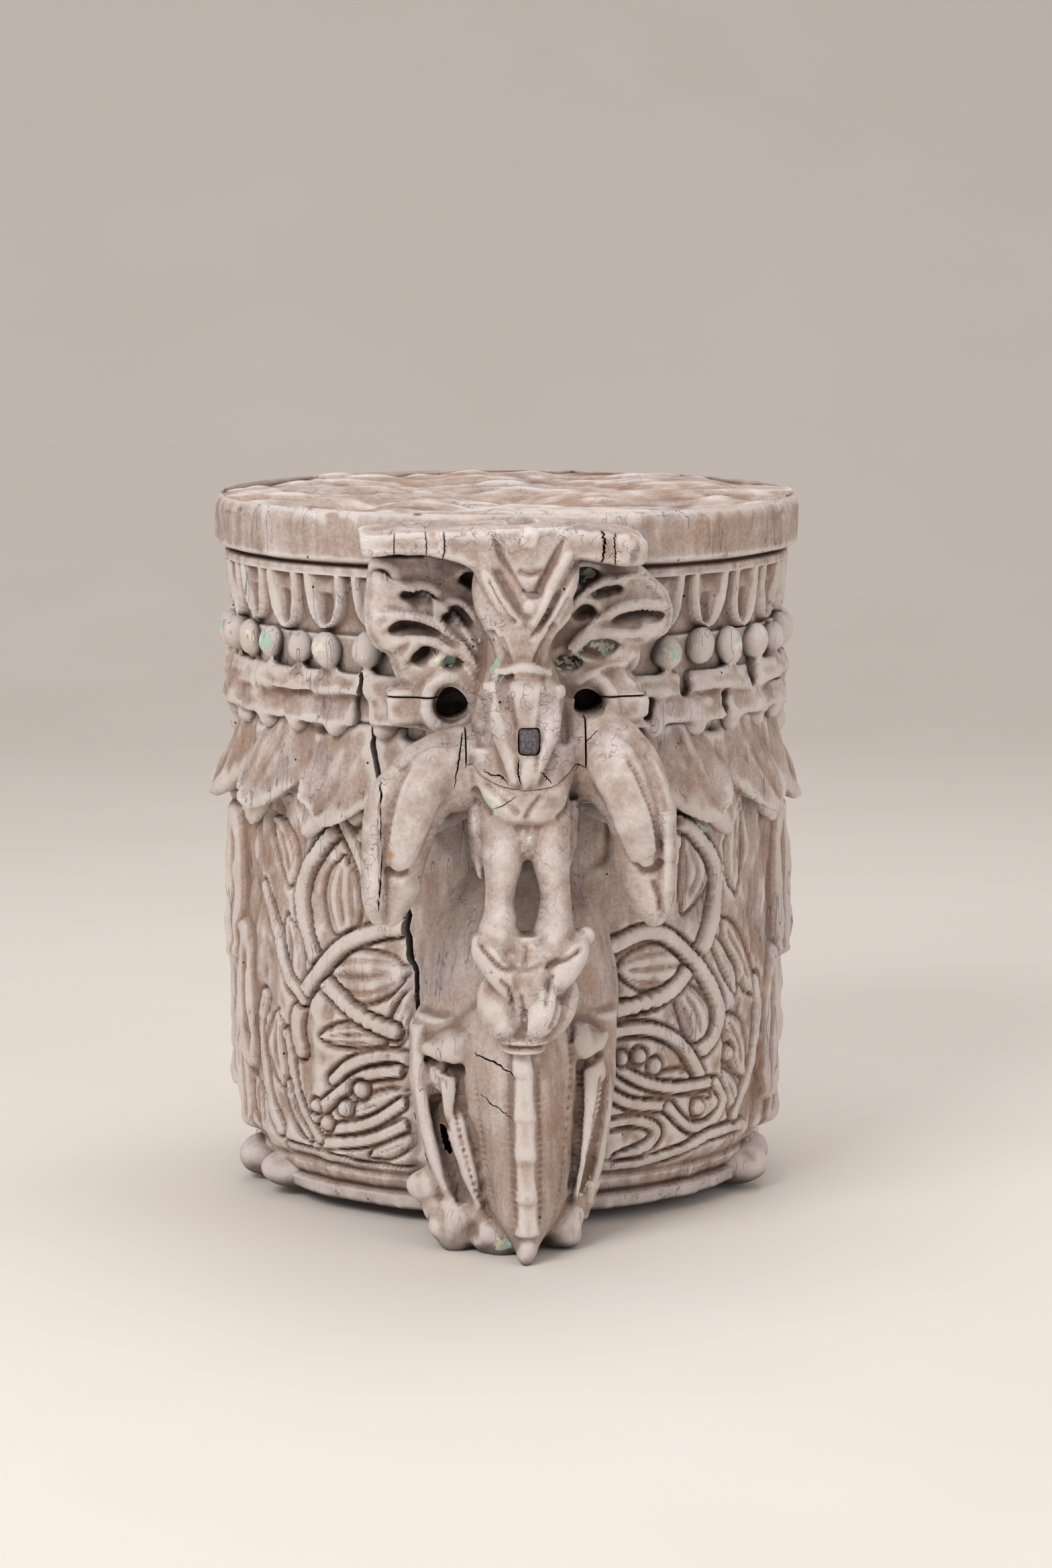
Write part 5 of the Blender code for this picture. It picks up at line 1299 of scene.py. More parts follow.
def wing_bodies():
    """Both wings: an arm that arches out and down, a front feather over it and a longer back feather."""
    left = [
        [(-0.050, 0.500, 0.668, 0.058, 0.060), (-0.100, 0.515, 0.662, 0.056, 0.058),
         (-0.138, 0.525, 0.648, 0.053, 0.053), (-0.163, 0.532, 0.610, 0.051, 0.050),
         (-0.171, 0.532, 0.565, 0.041, 0.046), (-0.174, 0.530, 0.525, 0.033, 0.040),
         (-0.180, 0.527, 0.490, 0.0255, 0.034), (-0.185, 0.524, 0.466, 0.0155, 0.026),
         (-0.190, 0.520, 0.452, 0.007, 0.014)],
        [(-0.090, 0.548, 0.674, 0.028, 0.022), (-0.128, 0.562, 0.664, 0.034, 0.026),
         (-0.152, 0.571, 0.636, 0.034, 0.028), (-0.165, 0.575, 0.598, 0.031, 0.027),
         (-0.173, 0.575, 0.564, 0.0245, 0.022), (-0.178, 0.570, 0.540, 0.015, 0.014),
         (-0.179, 0.566, 0.531, 0.006, 0.007)],
        [(-0.170, 0.538, 0.664, 0.018, 0.034), (-0.192, 0.546, 0.640, 0.022, 0.036),
         (-0.204, 0.552, 0.606, 0.0215, 0.034), (-0.2095, 0.552, 0.565, 0.0195, 0.033),
         (-0.2115, 0.549, 0.520, 0.0175, 0.031), (-0.2105, 0.543, 0.486, 0.0155, 0.027),
         (-0.2060, 0.534, 0.458, 0.008, 0.016)],
    ]
    right = [
        [(0.050, 0.500, 0.690, 0.070, 0.060), (0.090, 0.512, 0.686, 0.067, 0.058),
         (0.128, 0.525, 0.666, 0.060, 0.055), (0.155, 0.530, 0.622, 0.052, 0.050),
         (0.166, 0.530, 0.570, 0.042, 0.045), (0.171, 0.528, 0.525, 0.036, 0.040),
         (0.177, 0.526, 0.488, 0.030, 0.035), (0.183, 0.523, 0.464, 0.021, 0.027),
         (0.187, 0.520, 0.450, 0.009, 0.014)],
        [(0.090, 0.552, 0.696, 0.032, 0.022), (0.120, 0.566, 0.676, 0.037, 0.027),
         (0.142, 0.574, 0.634, 0.034, 0.028), (0.153, 0.578, 0.590, 0.028, 0.026),
         (0.161, 0.576, 0.560, 0.022, 0.021), (0.166, 0.571, 0.538, 0.012, 0.012)],
        [(0.158, 0.545, 0.682, 0.018, 0.024), (0.182, 0.550, 0.640, 0.020, 0.030),
         (0.193, 0.550, 0.596, 0.018, 0.030), (0.196, 0.547, 0.545, 0.0150, 0.028),
         (0.197, 0.542, 0.500, 0.0125, 0.024), (0.196, 0.536, 0.468, 0.006, 0.012)],
    ]
    return [limb(stations, sides=44, steps=72) for stations in left + right]


def belly_bodies():
    """The belly apron, a bowl with a rounded lower edge, and the flank panels behind the thighs."""
    bodies = [limb([(-0.004, 0.540, 0.700, 0.074, 0.042), (-0.003, 0.546, 0.672, 0.0735, 0.048),
                    (-0.001, 0.552, 0.645, 0.067, 0.050), (0.001, 0.556, 0.622, 0.058, 0.048),
                    (0.001, 0.556, 0.606, 0.050, 0.044), (0.001, 0.552, 0.598, 0.036, 0.036)],
                   sides=56, steps=50, power=2.5)]
    bodies.append(block((-0.078, 0.42, 0.606), (0.074, 0.52, 0.66)))
    bodies.append(limb([(-0.066, 0.51, 0.625, 0.014, 0.040), (-0.066, 0.51, 0.570, 0.012, 0.040),
                        (-0.060, 0.505, 0.515, 0.005, 0.020)]))
    bodies.append(limb([(0.067, 0.51, 0.625, 0.013, 0.040), (0.066, 0.51, 0.575, 0.011, 0.038),
                        (0.062, 0.505, 0.530, 0.005, 0.018)]))
    return bodies


def leg_bodies():
    """Thighs, shanks, folded claws and the foot they share."""
    left = [(-0.030, 0.545, 0.625, 0.031, 0.038), (-0.030, 0.550, 0.590, 0.0315, 0.040),
            (-0.0305, 0.553, 0.558, 0.0305, 0.039), (-0.0325, 0.555, 0.534, 0.0260, 0.034),
            (-0.0345, 0.557, 0.514, 0.0220, 0.029), (-0.0360, 0.560, 0.490, 0.0205, 0.027),
            (-0.0370, 0.562, 0.466, 0.0245, 0.030), (-0.0380, 0.563, 0.448, 0.0300, 0.033),
            (-0.032, 0.564, 0.424, 0.0330, 0.033), (-0.022, 0.562, 0.404, 0.028, 0.030)]
    right = [(0.032, 0.545, 0.625, 0.031, 0.038), (0.033, 0.550, 0.590, 0.0315, 0.040),
             (0.034, 0.553, 0.558, 0.0300, 0.039), (0.0375, 0.555, 0.534, 0.0250, 0.034),
             (0.0395, 0.557, 0.514, 0.0220, 0.029), (0.0410, 0.560, 0.490, 0.0220, 0.027),
             (0.0410, 0.562, 0.466, 0.0250, 0.030), (0.0400, 0.563, 0.450, 0.0290, 0.033),
             (0.036, 0.564, 0.424, 0.0330, 0.033), (0.026, 0.562, 0.404, 0.028, 0.030)]
    between = [(0.001, 0.548, 0.625, 0.026, 0.036), (0.002, 0.552, 0.590, 0.022, 0.036),
               (0.003, 0.552, 0.564, 0.015, 0.033), (0.003, 0.548, 0.548, 0.005, 0.022)]
    bodies = [limb(stations, sides=48, steps=90) for stations in (left, right, between)]
    bodies.append(limb([(-0.066, 0.560, 0.448, 0.010, 0.018), (-0.058, 0.572, 0.430, 0.020, 0.026),
                        (-0.044, 0.581, 0.408, 0.0215, 0.026), (-0.032, 0.584, 0.388, 0.0185, 0.023),
                        (-0.024, 0.580, 0.366, 0.0125, 0.017), (-0.018, 0.574, 0.346, 0.006, 0.010)],
                       sides=32, steps=50, power=2.8))
    bodies.append(limb([(0.078, 0.560, 0.448, 0.011, 0.018), (0.069, 0.572, 0.427, 0.0205, 0.026),
                        (0.056, 0.580, 0.404, 0.0205, 0.026), (0.045, 0.582, 0.386, 0.0175, 0.023),
                        (0.038, 0.578, 0.366, 0.0115, 0.016), (0.032, 0.572, 0.346, 0.006, 0.010)],
                       sides=32, steps=50, power=2.6))
    bodies.append(ball(0.085, 0.562, 0.444, 0.0120, sides=28))
    bodies.append(limb([(0.001, 0.566, 0.446, 0.026, 0.026), (0.001, 0.572, 0.426, 0.034, 0.029),
                        (0.002, 0.576, 0.402, 0.034, 0.029), (0.003, 0.576, 0.380, 0.026, 0.027)], sides=36,
                       steps=36, power=2.4))
    bodies.append(limb([(0, 0.558, 0.444, 0.052, 0.028), (0.003, 0.562, 0.416, 0.056, 0.033),
                        (0.003, 0.566, 0.390, 0.044, 0.035), (0.004, 0.568, 0.360, 0.034, 0.035),
                        (0.002, 0.565, 0.325, 0.029, 0.033), (0.0, 0.562, 0.300, 0.024, 0.030)],
                       sides=48, steps=60))
    bodies += [ball(0.006, 0.594, 0.430, 0.0095, sides=24), ball(-0.020, 0.592, 0.420, 0.010, sides=24)]
    return bodies


def bud_bodies():
    """The lotus bud: plump petals round a core, on a double collar."""
    bodies = [limb([(-0.056, 0.556, 0.382, 0.006, 0.012), (-0.050, 0.566, 0.366, 0.021, 0.027),
                    (-0.040, 0.572, 0.342, 0.027, 0.031), (-0.026, 0.573, 0.318, 0.021, 0.026),
                    (-0.012, 0.570, 0.303, 0.007, 0.014)], sides=40, steps=50),
              limb([(0.036, 0.576, 0.386, 0.005, 0.010), (0.030, 0.588, 0.370, 0.019, 0.023),
                    (0.022, 0.594, 0.345, 0.025, 0.026), (0.010, 0.591, 0.320, 0.019, 0.021),
                    (0.004, 0.583, 0.303, 0.006, 0.012)], sides=40, steps=50),
              limb([(0.064, 0.545, 0.378, 0.006, 0.012), (0.060, 0.553, 0.362, 0.016, 0.024),
                    (0.051, 0.558, 0.338, 0.018, 0.027), (0.036, 0.561, 0.314, 0.014, 0.023),
                    (0.022, 0.562, 0.302, 0.005, 0.012)], sides=40, steps=50),
              ball(0.000, 0.562, 0.335, 0.036, (1.0, 1.0, 1.15))]
    for low, wide, front in ((0.302, 0.0375, 0.600), (0.289, 0.0310, 0.594)):
        bodies.append(limb([(-0.003, front - 0.040, low + 0.0055, wide * 0.86, 0.034),
                            (-0.003, front - 0.040, low + 0.003, wide, 0.040),
                            (-0.003, front - 0.040, low - 0.003, wide, 0.040),
                            (-0.003, front - 0.040, low - 0.0055, wide * 0.86, 0.034)],
                           sides=48, steps=16, power=2.2))
    bodies.append(limb([(-0.004, 0.556, 0.30, 0.024, 0.030), (-0.004, 0.556, 0.280, 0.020, 0.026)], sides=36,
                       steps=8))
    return bodies


UPPER_STROKES = [
    ([(-0.052, 0.858), (-0.040, 0.838), (-0.028, 0.814)], 0.0020, -0.0034, 0.50),
    ([(-0.036, 0.850), (-0.029, 0.834), (-0.022, 0.814)], 0.0014, -0.0022, 0.50),
    ([(0.041, 0.868), (0.026, 0.842), (0.012, 0.814)], 0.0020, -0.0034, 0.50),
    ([(0.032, 0.845), (0.026, 0.828), (0.021, 0.812)], 0.0014, -0.0022, 0.50),
    ([(-0.056, 0.934), (-0.040, 0.900), (-0.024, 0.876), (-0.012, 0.868)], 0.0015, -0.0030, 0.54),
    ([(0.046, 0.915), (0.030, 0.886), (0.016, 0.862), (0.004, 0.848)], 0.0014, -0.0026, 0.54),
    ([(0.060, 0.905), (0.044, 0.878), (0.030, 0.858)], 0.0014, -0.0020, 0.50),
    ([(-0.046, 0.990), (-0.034, 0.955), (-0.016, 0.925), (-0.004, 0.908)], 0.0018, -0.0024, 0.56),
    ([(0.052, 0.985), (0.036, 0.955), (0.022, 0.930), (0.014, 0.912)], 0.0018, -0.0024, 0.56),
    ([(-0.024, 0.788), (-0.022, 0.760), (-0.017, 0.732), (-0.013, 0.700), (-0.013, 0.664)], 0.0017, -0.0016,
     0.56),
    ([(0.022, 0.785), (0.019, 0.760), (0.015, 0.735), (0.015, 0.705), (0.010, 0.668)], 0.0017, -0.0016, 0.56),
    ([(-0.040, 0.797), (-0.030, 0.795), (-0.018, 0.800)], 0.0014, -0.0030, 0.52),
    ([(-0.014, 0.940), (0.004, 0.936), (0.020, 0.940)], 0.0016, -0.0022, 0.57),
    ([(-0.010, 0.912), (0.005, 0.908), (0.018, 0.913)], 0.0016, -0.0026, 0.57),
    ([(-0.052, 0.780), (-0.058, 0.745), (-0.060, 0.710)], 0.0030, -0.0016, 0.50),
    ([(0.050, 0.772), (0.054, 0.740), (0.056, 0.706)], 0.0030, -0.0016, 0.50),
    ([(-0.214, 0.925), (-0.170, 0.912), (-0.120, 0.888), (-0.080, 0.846), (-0.060, 0.812)], 0.0024, 0.0030,
     0.42),
    ([(-0.212, 0.866), (-0.170, 0.870), (-0.120, 0.858), (-0.080, 0.822), (-0.060, 0.788)], 0.0024, 0.0030,
     0.42),
    ([(-0.186, 0.826), (-0.155, 0.836), (-0.118, 0.830), (-0.085, 0.806), (-0.062, 0.770)], 0.0022, 0.0028,
     0.42),
    ([(-0.118, 0.894), (-0.122, 0.872), (-0.104, 0.846), (-0.076, 0.826)], 0.0018, 0.0022, 0.42),
    ([(0.170, 0.920), (0.130, 0.916), (0.092, 0.904), (0.066, 0.880)], 0.0022, 0.0028, 0.42),
    ([(0.206, 0.878), (0.160, 0.880), (0.120, 0.872), (0.086, 0.846), (0.060, 0.820)], 0.0024, 0.0030, 0.42),
    ([(0.182, 0.838), (0.140, 0.842), (0.100, 0.840), (0.070, 0.824), (0.048, 0.806)], 0.0024, 0.0028, 0.42),
    ([(0.150, 0.800), (0.120, 0.798), (0.092, 0.786), (0.070, 0.770)], 0.0022, 0.0022, 0.42),
]
LOWER_STROKES = [
    ([(-0.072, 0.648), (-0.062, 0.628), (-0.048, 0.609)], 0.0018, -0.0026, 0.56),
    ([(-0.060, 0.656), (-0.035, 0.636), (-0.010, 0.612)], 0.0016, -0.0018, 0.56),
    ([(-0.004, 0.606), (0.004, 0.622), (0.020, 0.642)], 0.0014, -0.0022, 0.56),
    ([(0.066, 0.642), (0.058, 0.620), (0.040, 0.604)], 0.0018, -0.0022, 0.56),
    ([(0.001, 0.598), (0.001, 0.580), (0.003, 0.555)], 0.0020, -0.0018, 0.54),
    ([(-0.160, 0.684), (-0.178, 0.650), (-0.190, 0.606), (-0.197, 0.560)], 0.0016, -0.0018, 0.55),
    ([(-0.160, 0.535), (-0.180, 0.527), (-0.196, 0.538)], 0.0018, -0.0030, 0.53),
    ([(0.134, 0.696), (0.154, 0.662), (0.171, 0.622), (0.183, 0.580), (0.188, 0.552)], 0.0016, -0.0022, 0.55),
    ([(0.148, 0.545), (0.162, 0.532), (0.180, 0.534), (0.188, 0.548)], 0.0018, -0.0030, 0.53),
    ([(0.165, 0.694), (0.184, 0.655), (0.196, 0.610)], 0.0020, -0.0018, 0.55),
    ([(0.176, 0.520), (0.186, 0.495), (0.188, 0.474)], 0.0016, -0.0020, 0.53),
    ([(-0.070, 0.442), (-0.054, 0.424), (-0.038, 0.409), (-0.020, 0.402)], 0.0015, -0.0030, 0.56),
    ([(0.078, 0.432), (0.058, 0.420), (0.040, 0.414), (0.026, 0.404)], 0.0015, -0.0030, 0.56),
    ([(-0.040, 0.392), (-0.026, 0.378), (-0.020, 0.355)], 0.0013, -0.0024, 0.56),
    ([(0.036, 0.398), (0.028, 0.378), (0.026, 0.356)], 0.0013, -0.0024, 0.56),
    ([(-0.004, 0.440), (-0.002, 0.424), (-0.006, 0.408)], 0.0020, -0.0018, 0.58),
    ([(-0.010, 0.372), (-0.006, 0.345), (-0.006, 0.315)], 0.0018, -0.0030, 0.56),
    ([(0.046, 0.370), (0.042, 0.345), (0.030, 0.320)], 0.0016, -0.0026, 0.55),
    ([(-0.030, 0.295), (0.0, 0.2945), (0.026, 0.295)], 0.0014, -0.0026, 0.57),
    ([(-0.026, 0.410), (-0.010, 0.404), (0.010, 0.406), (0.024, 0.412)], 0.0016, -0.0016, 0.58),
]


def upper_room(grow):
    """The upper block's space grown by a share: all above the level joint, and a wedge that slants down in
    the breast between the wing roots."""
    level = JOINT_BACK[1] - grow
    slope = (JOINT_BACK[1] - JOINT_FRONT[1]) / (JOINT_FRONT[0] - JOINT_BACK[0])
    far = 0.90
    half = TONGUE_HALF_WIDTH + grow
    drop = grow * math.hypot(1.0, slope)
    x = np.array([[-half, half], [-half, half]])
    high = JOINT_BACK[1] + 0.1
    low = JOINT_BACK[1] - slope * (far - JOINT_BACK[0]) - drop
    front = carved(x, far, np.array([[low, low], [high, high]]))
    back = carved(x, JOINT_BACK[0], np.array([[JOINT_BACK[1] - drop] * 2, [high, high]]))
    return block((-1.0, 0.0, level), (1.0, 1.0, 1.5)), shell(front, back)


def eye_body(x, z, wide, high):
    """Cutter for a volute's eye: a rounded tube right through to the drum."""
    turn = np.linspace(0.0, 2.0 * math.pi, 40, endpoint=False)
    f = np.linspace(0.36, 0.56, 8)[:, None]
    uneven = 1.0 + 0.06 * np.cos(turn * 3.0 + 1.0)
    return capped(carved(x + wide * uneven * np.cos(turn) + 0.0 * f, f + 0.0 * turn,
                         z + high * uneven * np.sin(turn) + 0.0 * f))


# Cracks: path of (x, z), half width, the f that they start and end at, wander and seed
UPPER_CRACKS = [
    ([(-0.060, 0.672), (-0.048, 0.666), (-0.034, 0.664), (-0.026, 0.652)], 0.0012, 0.570, 0.70, 0.0012, 3),
    ([(0.018, 0.672), (0.026, 0.664), (0.034, 0.654)], 0.0011, 0.575, 0.70, 0.0010, 4),
    ([(-0.115, 0.992), (-0.113, 0.972), (-0.117, 0.950)], 0.0011, 0.585, 0.64, 0.0020, 5),
    ([(0.103, 0.995), (0.106, 0.975), (0.103, 0.948)], 0.0018, 0.580, 0.64, 0.0020, 6),
    ([(0.121, 0.990), (0.120, 0.970), (0.122, 0.945)], 0.0010, 0.585, 0.64, 0.0015, 7),
    ([(-0.182, 0.990), (-0.183, 0.972), (-0.181, 0.955)], 0.0009, 0.590, 0.64, 0.0010, 8),
    ([(-0.140, 0.992), (-0.138, 0.974), (-0.139, 0.955)], 0.0008, 0.590, 0.64, 0.0010, 9),
    ([(-0.012, 0.690), (-0.013, 0.672), (-0.008, 0.654)], 0.0012, 0.590, 0.70, 0.0006, 10),
]
LOWER_CRACKS = [
    ([(-0.201, 0.655), (-0.204, 0.600), (-0.203, 0.545), (-0.205, 0.480)], 0.0024, 0.500, 0.70, 0.0018, 11),
    ([(-0.086, 0.722), (-0.090, 0.700), (-0.095, 0.676), (-0.100, 0.645)], 0.0013, 0.535, 0.70, 0.0010, 12),
    ([(0.076, 0.728), (0.083, 0.706), (0.079, 0.684), (0.068, 0.668)], 0.0014, 0.535, 0.70, 0.0012, 13),
    ([(0.080, 0.704), (0.090, 0.712), (0.100, 0.722)], 0.0008, 0.560, 0.70, 0.0010, 14),
    ([(-0.048, 0.620), (-0.030, 0.628), (-0.014, 0.640)], 0.0007, 0.588, 0.70, 0.0010, 15),
]
POD_CRACKS = [
    ([(-0.088, 0.290), (-0.069, 0.275), (-0.045, 0.268), (-0.022, 0.255), (-0.014, 0.248)], 0.0013, 0.52,
     0.70, 0.0016, 16),
    ([(-0.067, 0.226), (-0.050, 0.212), (-0.030, 0.200), (-0.016, 0.188)], 0.0009, 0.53, 0.70, 0.0014, 17),
    ([(-0.116, 0.165), (-0.098, 0.120), (-0.082, 0.075)], 0.0090, 0.40, 0.470, 0.0020, 18),
]


def cut_cracks(made, cracks):
    """Open each crack: a thin wandering wedge cut into the piece."""
    for path, half, back, front, wander, seed in cracks:
        cut_with(made, blade(path, half, back, front, wander, seed))


# ---- assembly ------------------------------------------------------------------------------------------

def build_drum():
    """Crown, body, rows of beads and planks, petals and pod: five pieces for the drum's node."""
    crown = new_object("drum_crown", wrapped(np.linspace(CROWN_FOOT, 0.9995, 142), crown_radius,
                                             [0.05, 0.5, 0.9], np.linspace(0.985, 0.02, 44), worn_top))
    body = new_object("drum_body", wrapped(np.linspace(0.0, 0.705, 190), body_radius,
                                           [0.05, 0.5, 0.85, 0.97], [0.97, 0.8, 0.4, 0.05], flat_top))
    open_shake(body)
    rows = fused("drum_beads_and_planks", slab_rows() + bead_row(), ROWS_FINE)
    weathered(rows, 0.0011, (0.010, 0.010, 0.010), 23)
    petals = fused("drum_petals", petal_row(), PETALS_FINE)
    weathered(petals, 0.0012, (0.009, 0.009, 0.026), 27)
    open_shake(rows)
    open_shake(petals)
    pod = fused("pendant_pod", pod_bodies(), POD_FINE)
    weathered(pod, 0.0009, (0.012, 0.012, 0.040), 29, POD_STROKES)
    mark_hollows(pod)
    cut_cracks(pod, POD_CRACKS)
    cut_with(pod, block((-0.6, -0.6, -0.2), (0.6, 0.8, -0.0042)))
    for made in (crown, body, rows, petals):
        mark_hollows(made)
    return [crown, body, rows, petals, pod]


# The drying shake down the wall: bearing in degrees and height, and its half width there, metres
SHAKE = [(-19.5, 0.055), (-19.0, 0.085), (-20.5, 0.12), (-21.5, 0.17), (-21.0, 0.22), (-22.0, 0.27),
         (-21.6, 0.32), (-23.0, 0.37), (-23.8, 0.43), (-25.5, 0.50), (-27.5, 0.57), (-29.5, 0.64),
         (-31.0, 0.69), (-32.0, 0.735), (-32.2, 0.772)]
SHAKE_HALF = [0.0015, 0.0070, 0.0062, 0.0042, 0.0030, 0.0034, 0.0030, 0.0032, 0.0034, 0.0032, 0.0026, 0.0024,
              0.0026, 0.0034, 0.0016]


def open_shake(made):
    """Open the drying shake: a ragged wedge down the wall at its own bearing for each height, its mouth as
    wide as SHAKE_HALF says and its root narrow, 24 mm deep."""
    count = 90
    line = spline(SHAKE, count)
    half = spline([(h,) for h in SHAKE_HALF], count)[:, 0]
    level = np.linspace(0.0, 40.0, count)
    wander = lattice(np.stack([level, level * 0 + 3.0, level * 0], -1), 71) * 0.0016
    half = half * 0.92 * (1.0 + 0.30 * lattice(np.stack([level * 1.6, level * 0 + 9.0, level * 0], -1), 73))
    angle = np.radians(line[:, 0]) + wander / BODY_RADIUS
    rings = []
    for reach, share in ((0.205, 1.0), (0.150, 0.25)):
        for side in (-1.0, 1.0):
            a = angle + side * half * share / BODY_RADIUS
            rings.append(on_wall(reach, a, line[:, 1] * HEIGHT))
    order = [rings[0], rings[1], rings[3], rings[2]]
    cut_with(made, capped(np.stack(order, 1)))


def build_bracket():
    """Both blocks: forms fused into one skin, carved and worn, parted at the joint, then hollowed, cracked
    and bored for the nail."""
    bodies = plate_bodies() + head_bodies() + volute_bodies() + wing_bodies()
    bodies += belly_bodies() + leg_bodies() + bud_bodies()
    whole = fused("bracket_upper_block", bodies, BRACKET_FINE)
    weathered(whole, 0.0009, (0.011, 0.030, 0.011), 33, UPPER_STROKES + LOWER_STROKES)
    mark_hollows(whole)
    cut_with(whole, eye_body(-0.100, 0.748, 0.0225, 0.0225))
    cut_with(whole, eye_body(0.090, 0.751, 0.0220, 0.0165))
    cut_with(whole, block((-0.5, 0.2, 1.0159), (0.5, 0.9, 1.2)))
    cut_with(whole, block((-0.5, -0.2, 0.2), (0.5, 0.364, 1.2)))
    cut_with(whole, block((-0.5, 0.2, 0.0), (0.5, 0.9, BUD_SEAT + 0.001)))
    lower = whole.copy()
    lower.data = whole.data.copy()
    lower.name = "bracket_lower_block"
    bpy.context.scene.collection.objects.link(lower)
    gap = SEEN_GAP / HEIGHT
    above, wedge = upper_room(gap)
    cut_with(lower, above)
    cut_with(lower, wedge)
    base, wedge = upper_room(-gap)
    rest = new_object("room", base)
    cut_with(rest, wedge, "UNION")
    combine(whole, rest, "INTERSECT")
    cut_cracks(whole, UPPER_CRACKS)
    cut_cracks(lower, LOWER_CRACKS)
    for made in (whole, lower):
        cut_with(made, nail_room())
    return whole, lower


# Middle of the nail's head on the forms' grid
NAIL = (0.002, 0.617, 0.7134)


def nail_rings(grow, roughness):
    """Rings of the nail: a domed, chamfered, uneven head 12 by 16 mm, then a square shank that tapers."""
    turn = np.linspace(0.0, 2.0 * math.pi, 40, endpoint=False)
    stations = [(-0.0026, 0.55), (-0.0022, 0.78), (-0.0012, 0.94), (0.0004, 1.0), (0.0030, 1.0),
                (0.0042, 0.90)]
    out = []
    for along, share in stations:
        square = 5.0
        wide = (0.0060 + grow) * share
        high = (0.0080 + grow) * share
        lump = 1.0 + roughness * np.sin(turn * 3.0 + 0.8) + roughness * 0.7 * np.cos(turn * 5.0)
        x = wide * lump * np.sign(np.cos(turn)) * np.abs(np.cos(turn)) ** (2.0 / square)
        z = high * lump * np.sign(np.sin(turn)) * np.abs(np.sin(turn)) ** (2.0 / square)
        out.append(np.stack([x, np.full_like(x, along - (grow if along < 0 else -grow)), z], -1))
    for along, half in ((0.0046, 0.0040), (0.030, 0.0032), (0.060, 0.0021)):
        x = (half + grow) * np.clip(np.cos(turn) * 1.35, -1.0, 1.0)
        z = (half + grow) * np.clip(np.sin(turn) * 1.35, -1.0, 1.0)
        out.append(np.stack([x, np.full_like(x, along), z], -1))
    return np.stack(out) + carved(*NAIL) + np.array([0.0, 0.003, 0.0])


def nail_room():
    """Cutter that leaves a narrow dark gap round the nail."""
    rings = nail_rings(0.0009, 0.0)
    front = rings[:1] + np.array([0.0, -0.02, 0.0])
    return capped(np.concatenate([front, rings]))


def build_nail():
    """The iron nail."""
    return new_object("iron_nail_head_and_shank", capped(nail_rings(0.0, 0.03)))


# Places of old paint and of rusty stains: x, f, z, size and strength on the forms' grid
PAINT_DABS = [
    (-0.060, 0.590, 0.630, 0.012, 1.0), (-0.044, 0.590, 0.612, 0.009, 1.0), (0.024, 0.61, 0.347, 0.009, 0.9),
    (0.000, 0.60, 0.330, 0.009, 1.0), (-0.150, 0.59, 0.645, 0.012, 0.8), (-0.118, 0.57, 0.625, 0.012, 0.9),
    (-0.203, 0.56, 0.620, 0.010, 1.0), (-0.200, 0.56, 0.590, 0.010, 0.9), (0.150, 0.59, 0.640, 0.011, 0.8),
    (0.172, 0.57, 0.632, 0.011, 0.9), (0.110, 0.57, 0.615, 0.010, 0.7), (0.005, 0.590, 0.575, 0.010, 0.7),
    (-0.075, 0.470, 0.800, 0.024, 1.1), (-0.066, 0.470, 0.825, 0.018, 1.0), (0.100, 0.460, 0.926, 0.020, 0.8),
    (0.150, 0.440, 0.925, 0.016, 0.8), (-0.150, 0.440, 0.925, 0.016, 0.9), (0.176, 0.55, 0.500, 0.012, 0.6),
    (-0.040, 0.590, 0.380, 0.007, 0.6), (0.042, 0.590, 0.388, 0.007, 0.7), (-0.095, 0.515, 0.030, 0.022, 0.9),
    (-0.135, 0.480, 0.080, 0.020, 1.0), (0.088, 0.485, 0.080, 0.018, 0.8), (-0.034, 0.540, 0.015, 0.016, 0.6),
]
STAIN_DABS = [
    (-0.002, 0.61, 0.198, 0.008, 1.1), (-0.001, 0.61, 0.145, 0.009, 1.3), (0.000, 0.61, 0.090, 0.008, 1.1),
    (0.002, 0.61, 0.042, 0.007, 1.0), (-0.004, 0.60, 0.260, 0.008, 0.8), (0.003, 0.60, 0.982, 0.010, 0.8),
    (-0.130, 0.60, 0.990, 0.008, 1.0), (-0.088, 0.60, 0.990, 0.007, 1.0), (0.145, 0.59, 0.983, 0.009, 1.0),
    (-0.190, 0.59, 0.560, 0.009, 1.1), (0.180, 0.58, 0.552, 0.008, 1.0), (0.006, 0.60, 0.430, 0.007, 0.9),
    (-0.105, 0.50, 0.178, 0.008, 0.7), (0.203, 0.56, 0.500, 0.008, 0.7), (-0.001, 0.62, 0.775, 0.008, 0.5),
    (-0.150, 0.58, 0.668, 0.010, 0.6), (-0.216, 0.55, 0.500, 0.010, 0.8),
]


def add_dabs(made):
    """Store where old paint and rusty stains are left on a piece."""
    points, _ = read_points(made)
    bearing = np.degrees(np.arctan2(points[:, 0], -points[:, 1]))
    z = points[:, 2] / HEIGHT
    paint = dabs(points, PAINT_DABS)
    beads = smooth(np.hypot(points[:, 0], points[:, 1]), NECK_RADIUS - 0.004, NECK_RADIUS + 0.004)
    beads = beads * ridge(z - BEAD_LEVEL, 0.020)
    folds = 0.40 * ridge(z - 0.535, 0.014) * (np.abs(bearing) > 22) * (np.abs(bearing) < 120)
    paint = np.maximum(paint, np.maximum(0.62 * beads, folds))
    set_value(made, "paint", paint)
    set_value(made, "stain", dabs(points, STAIN_DABS))


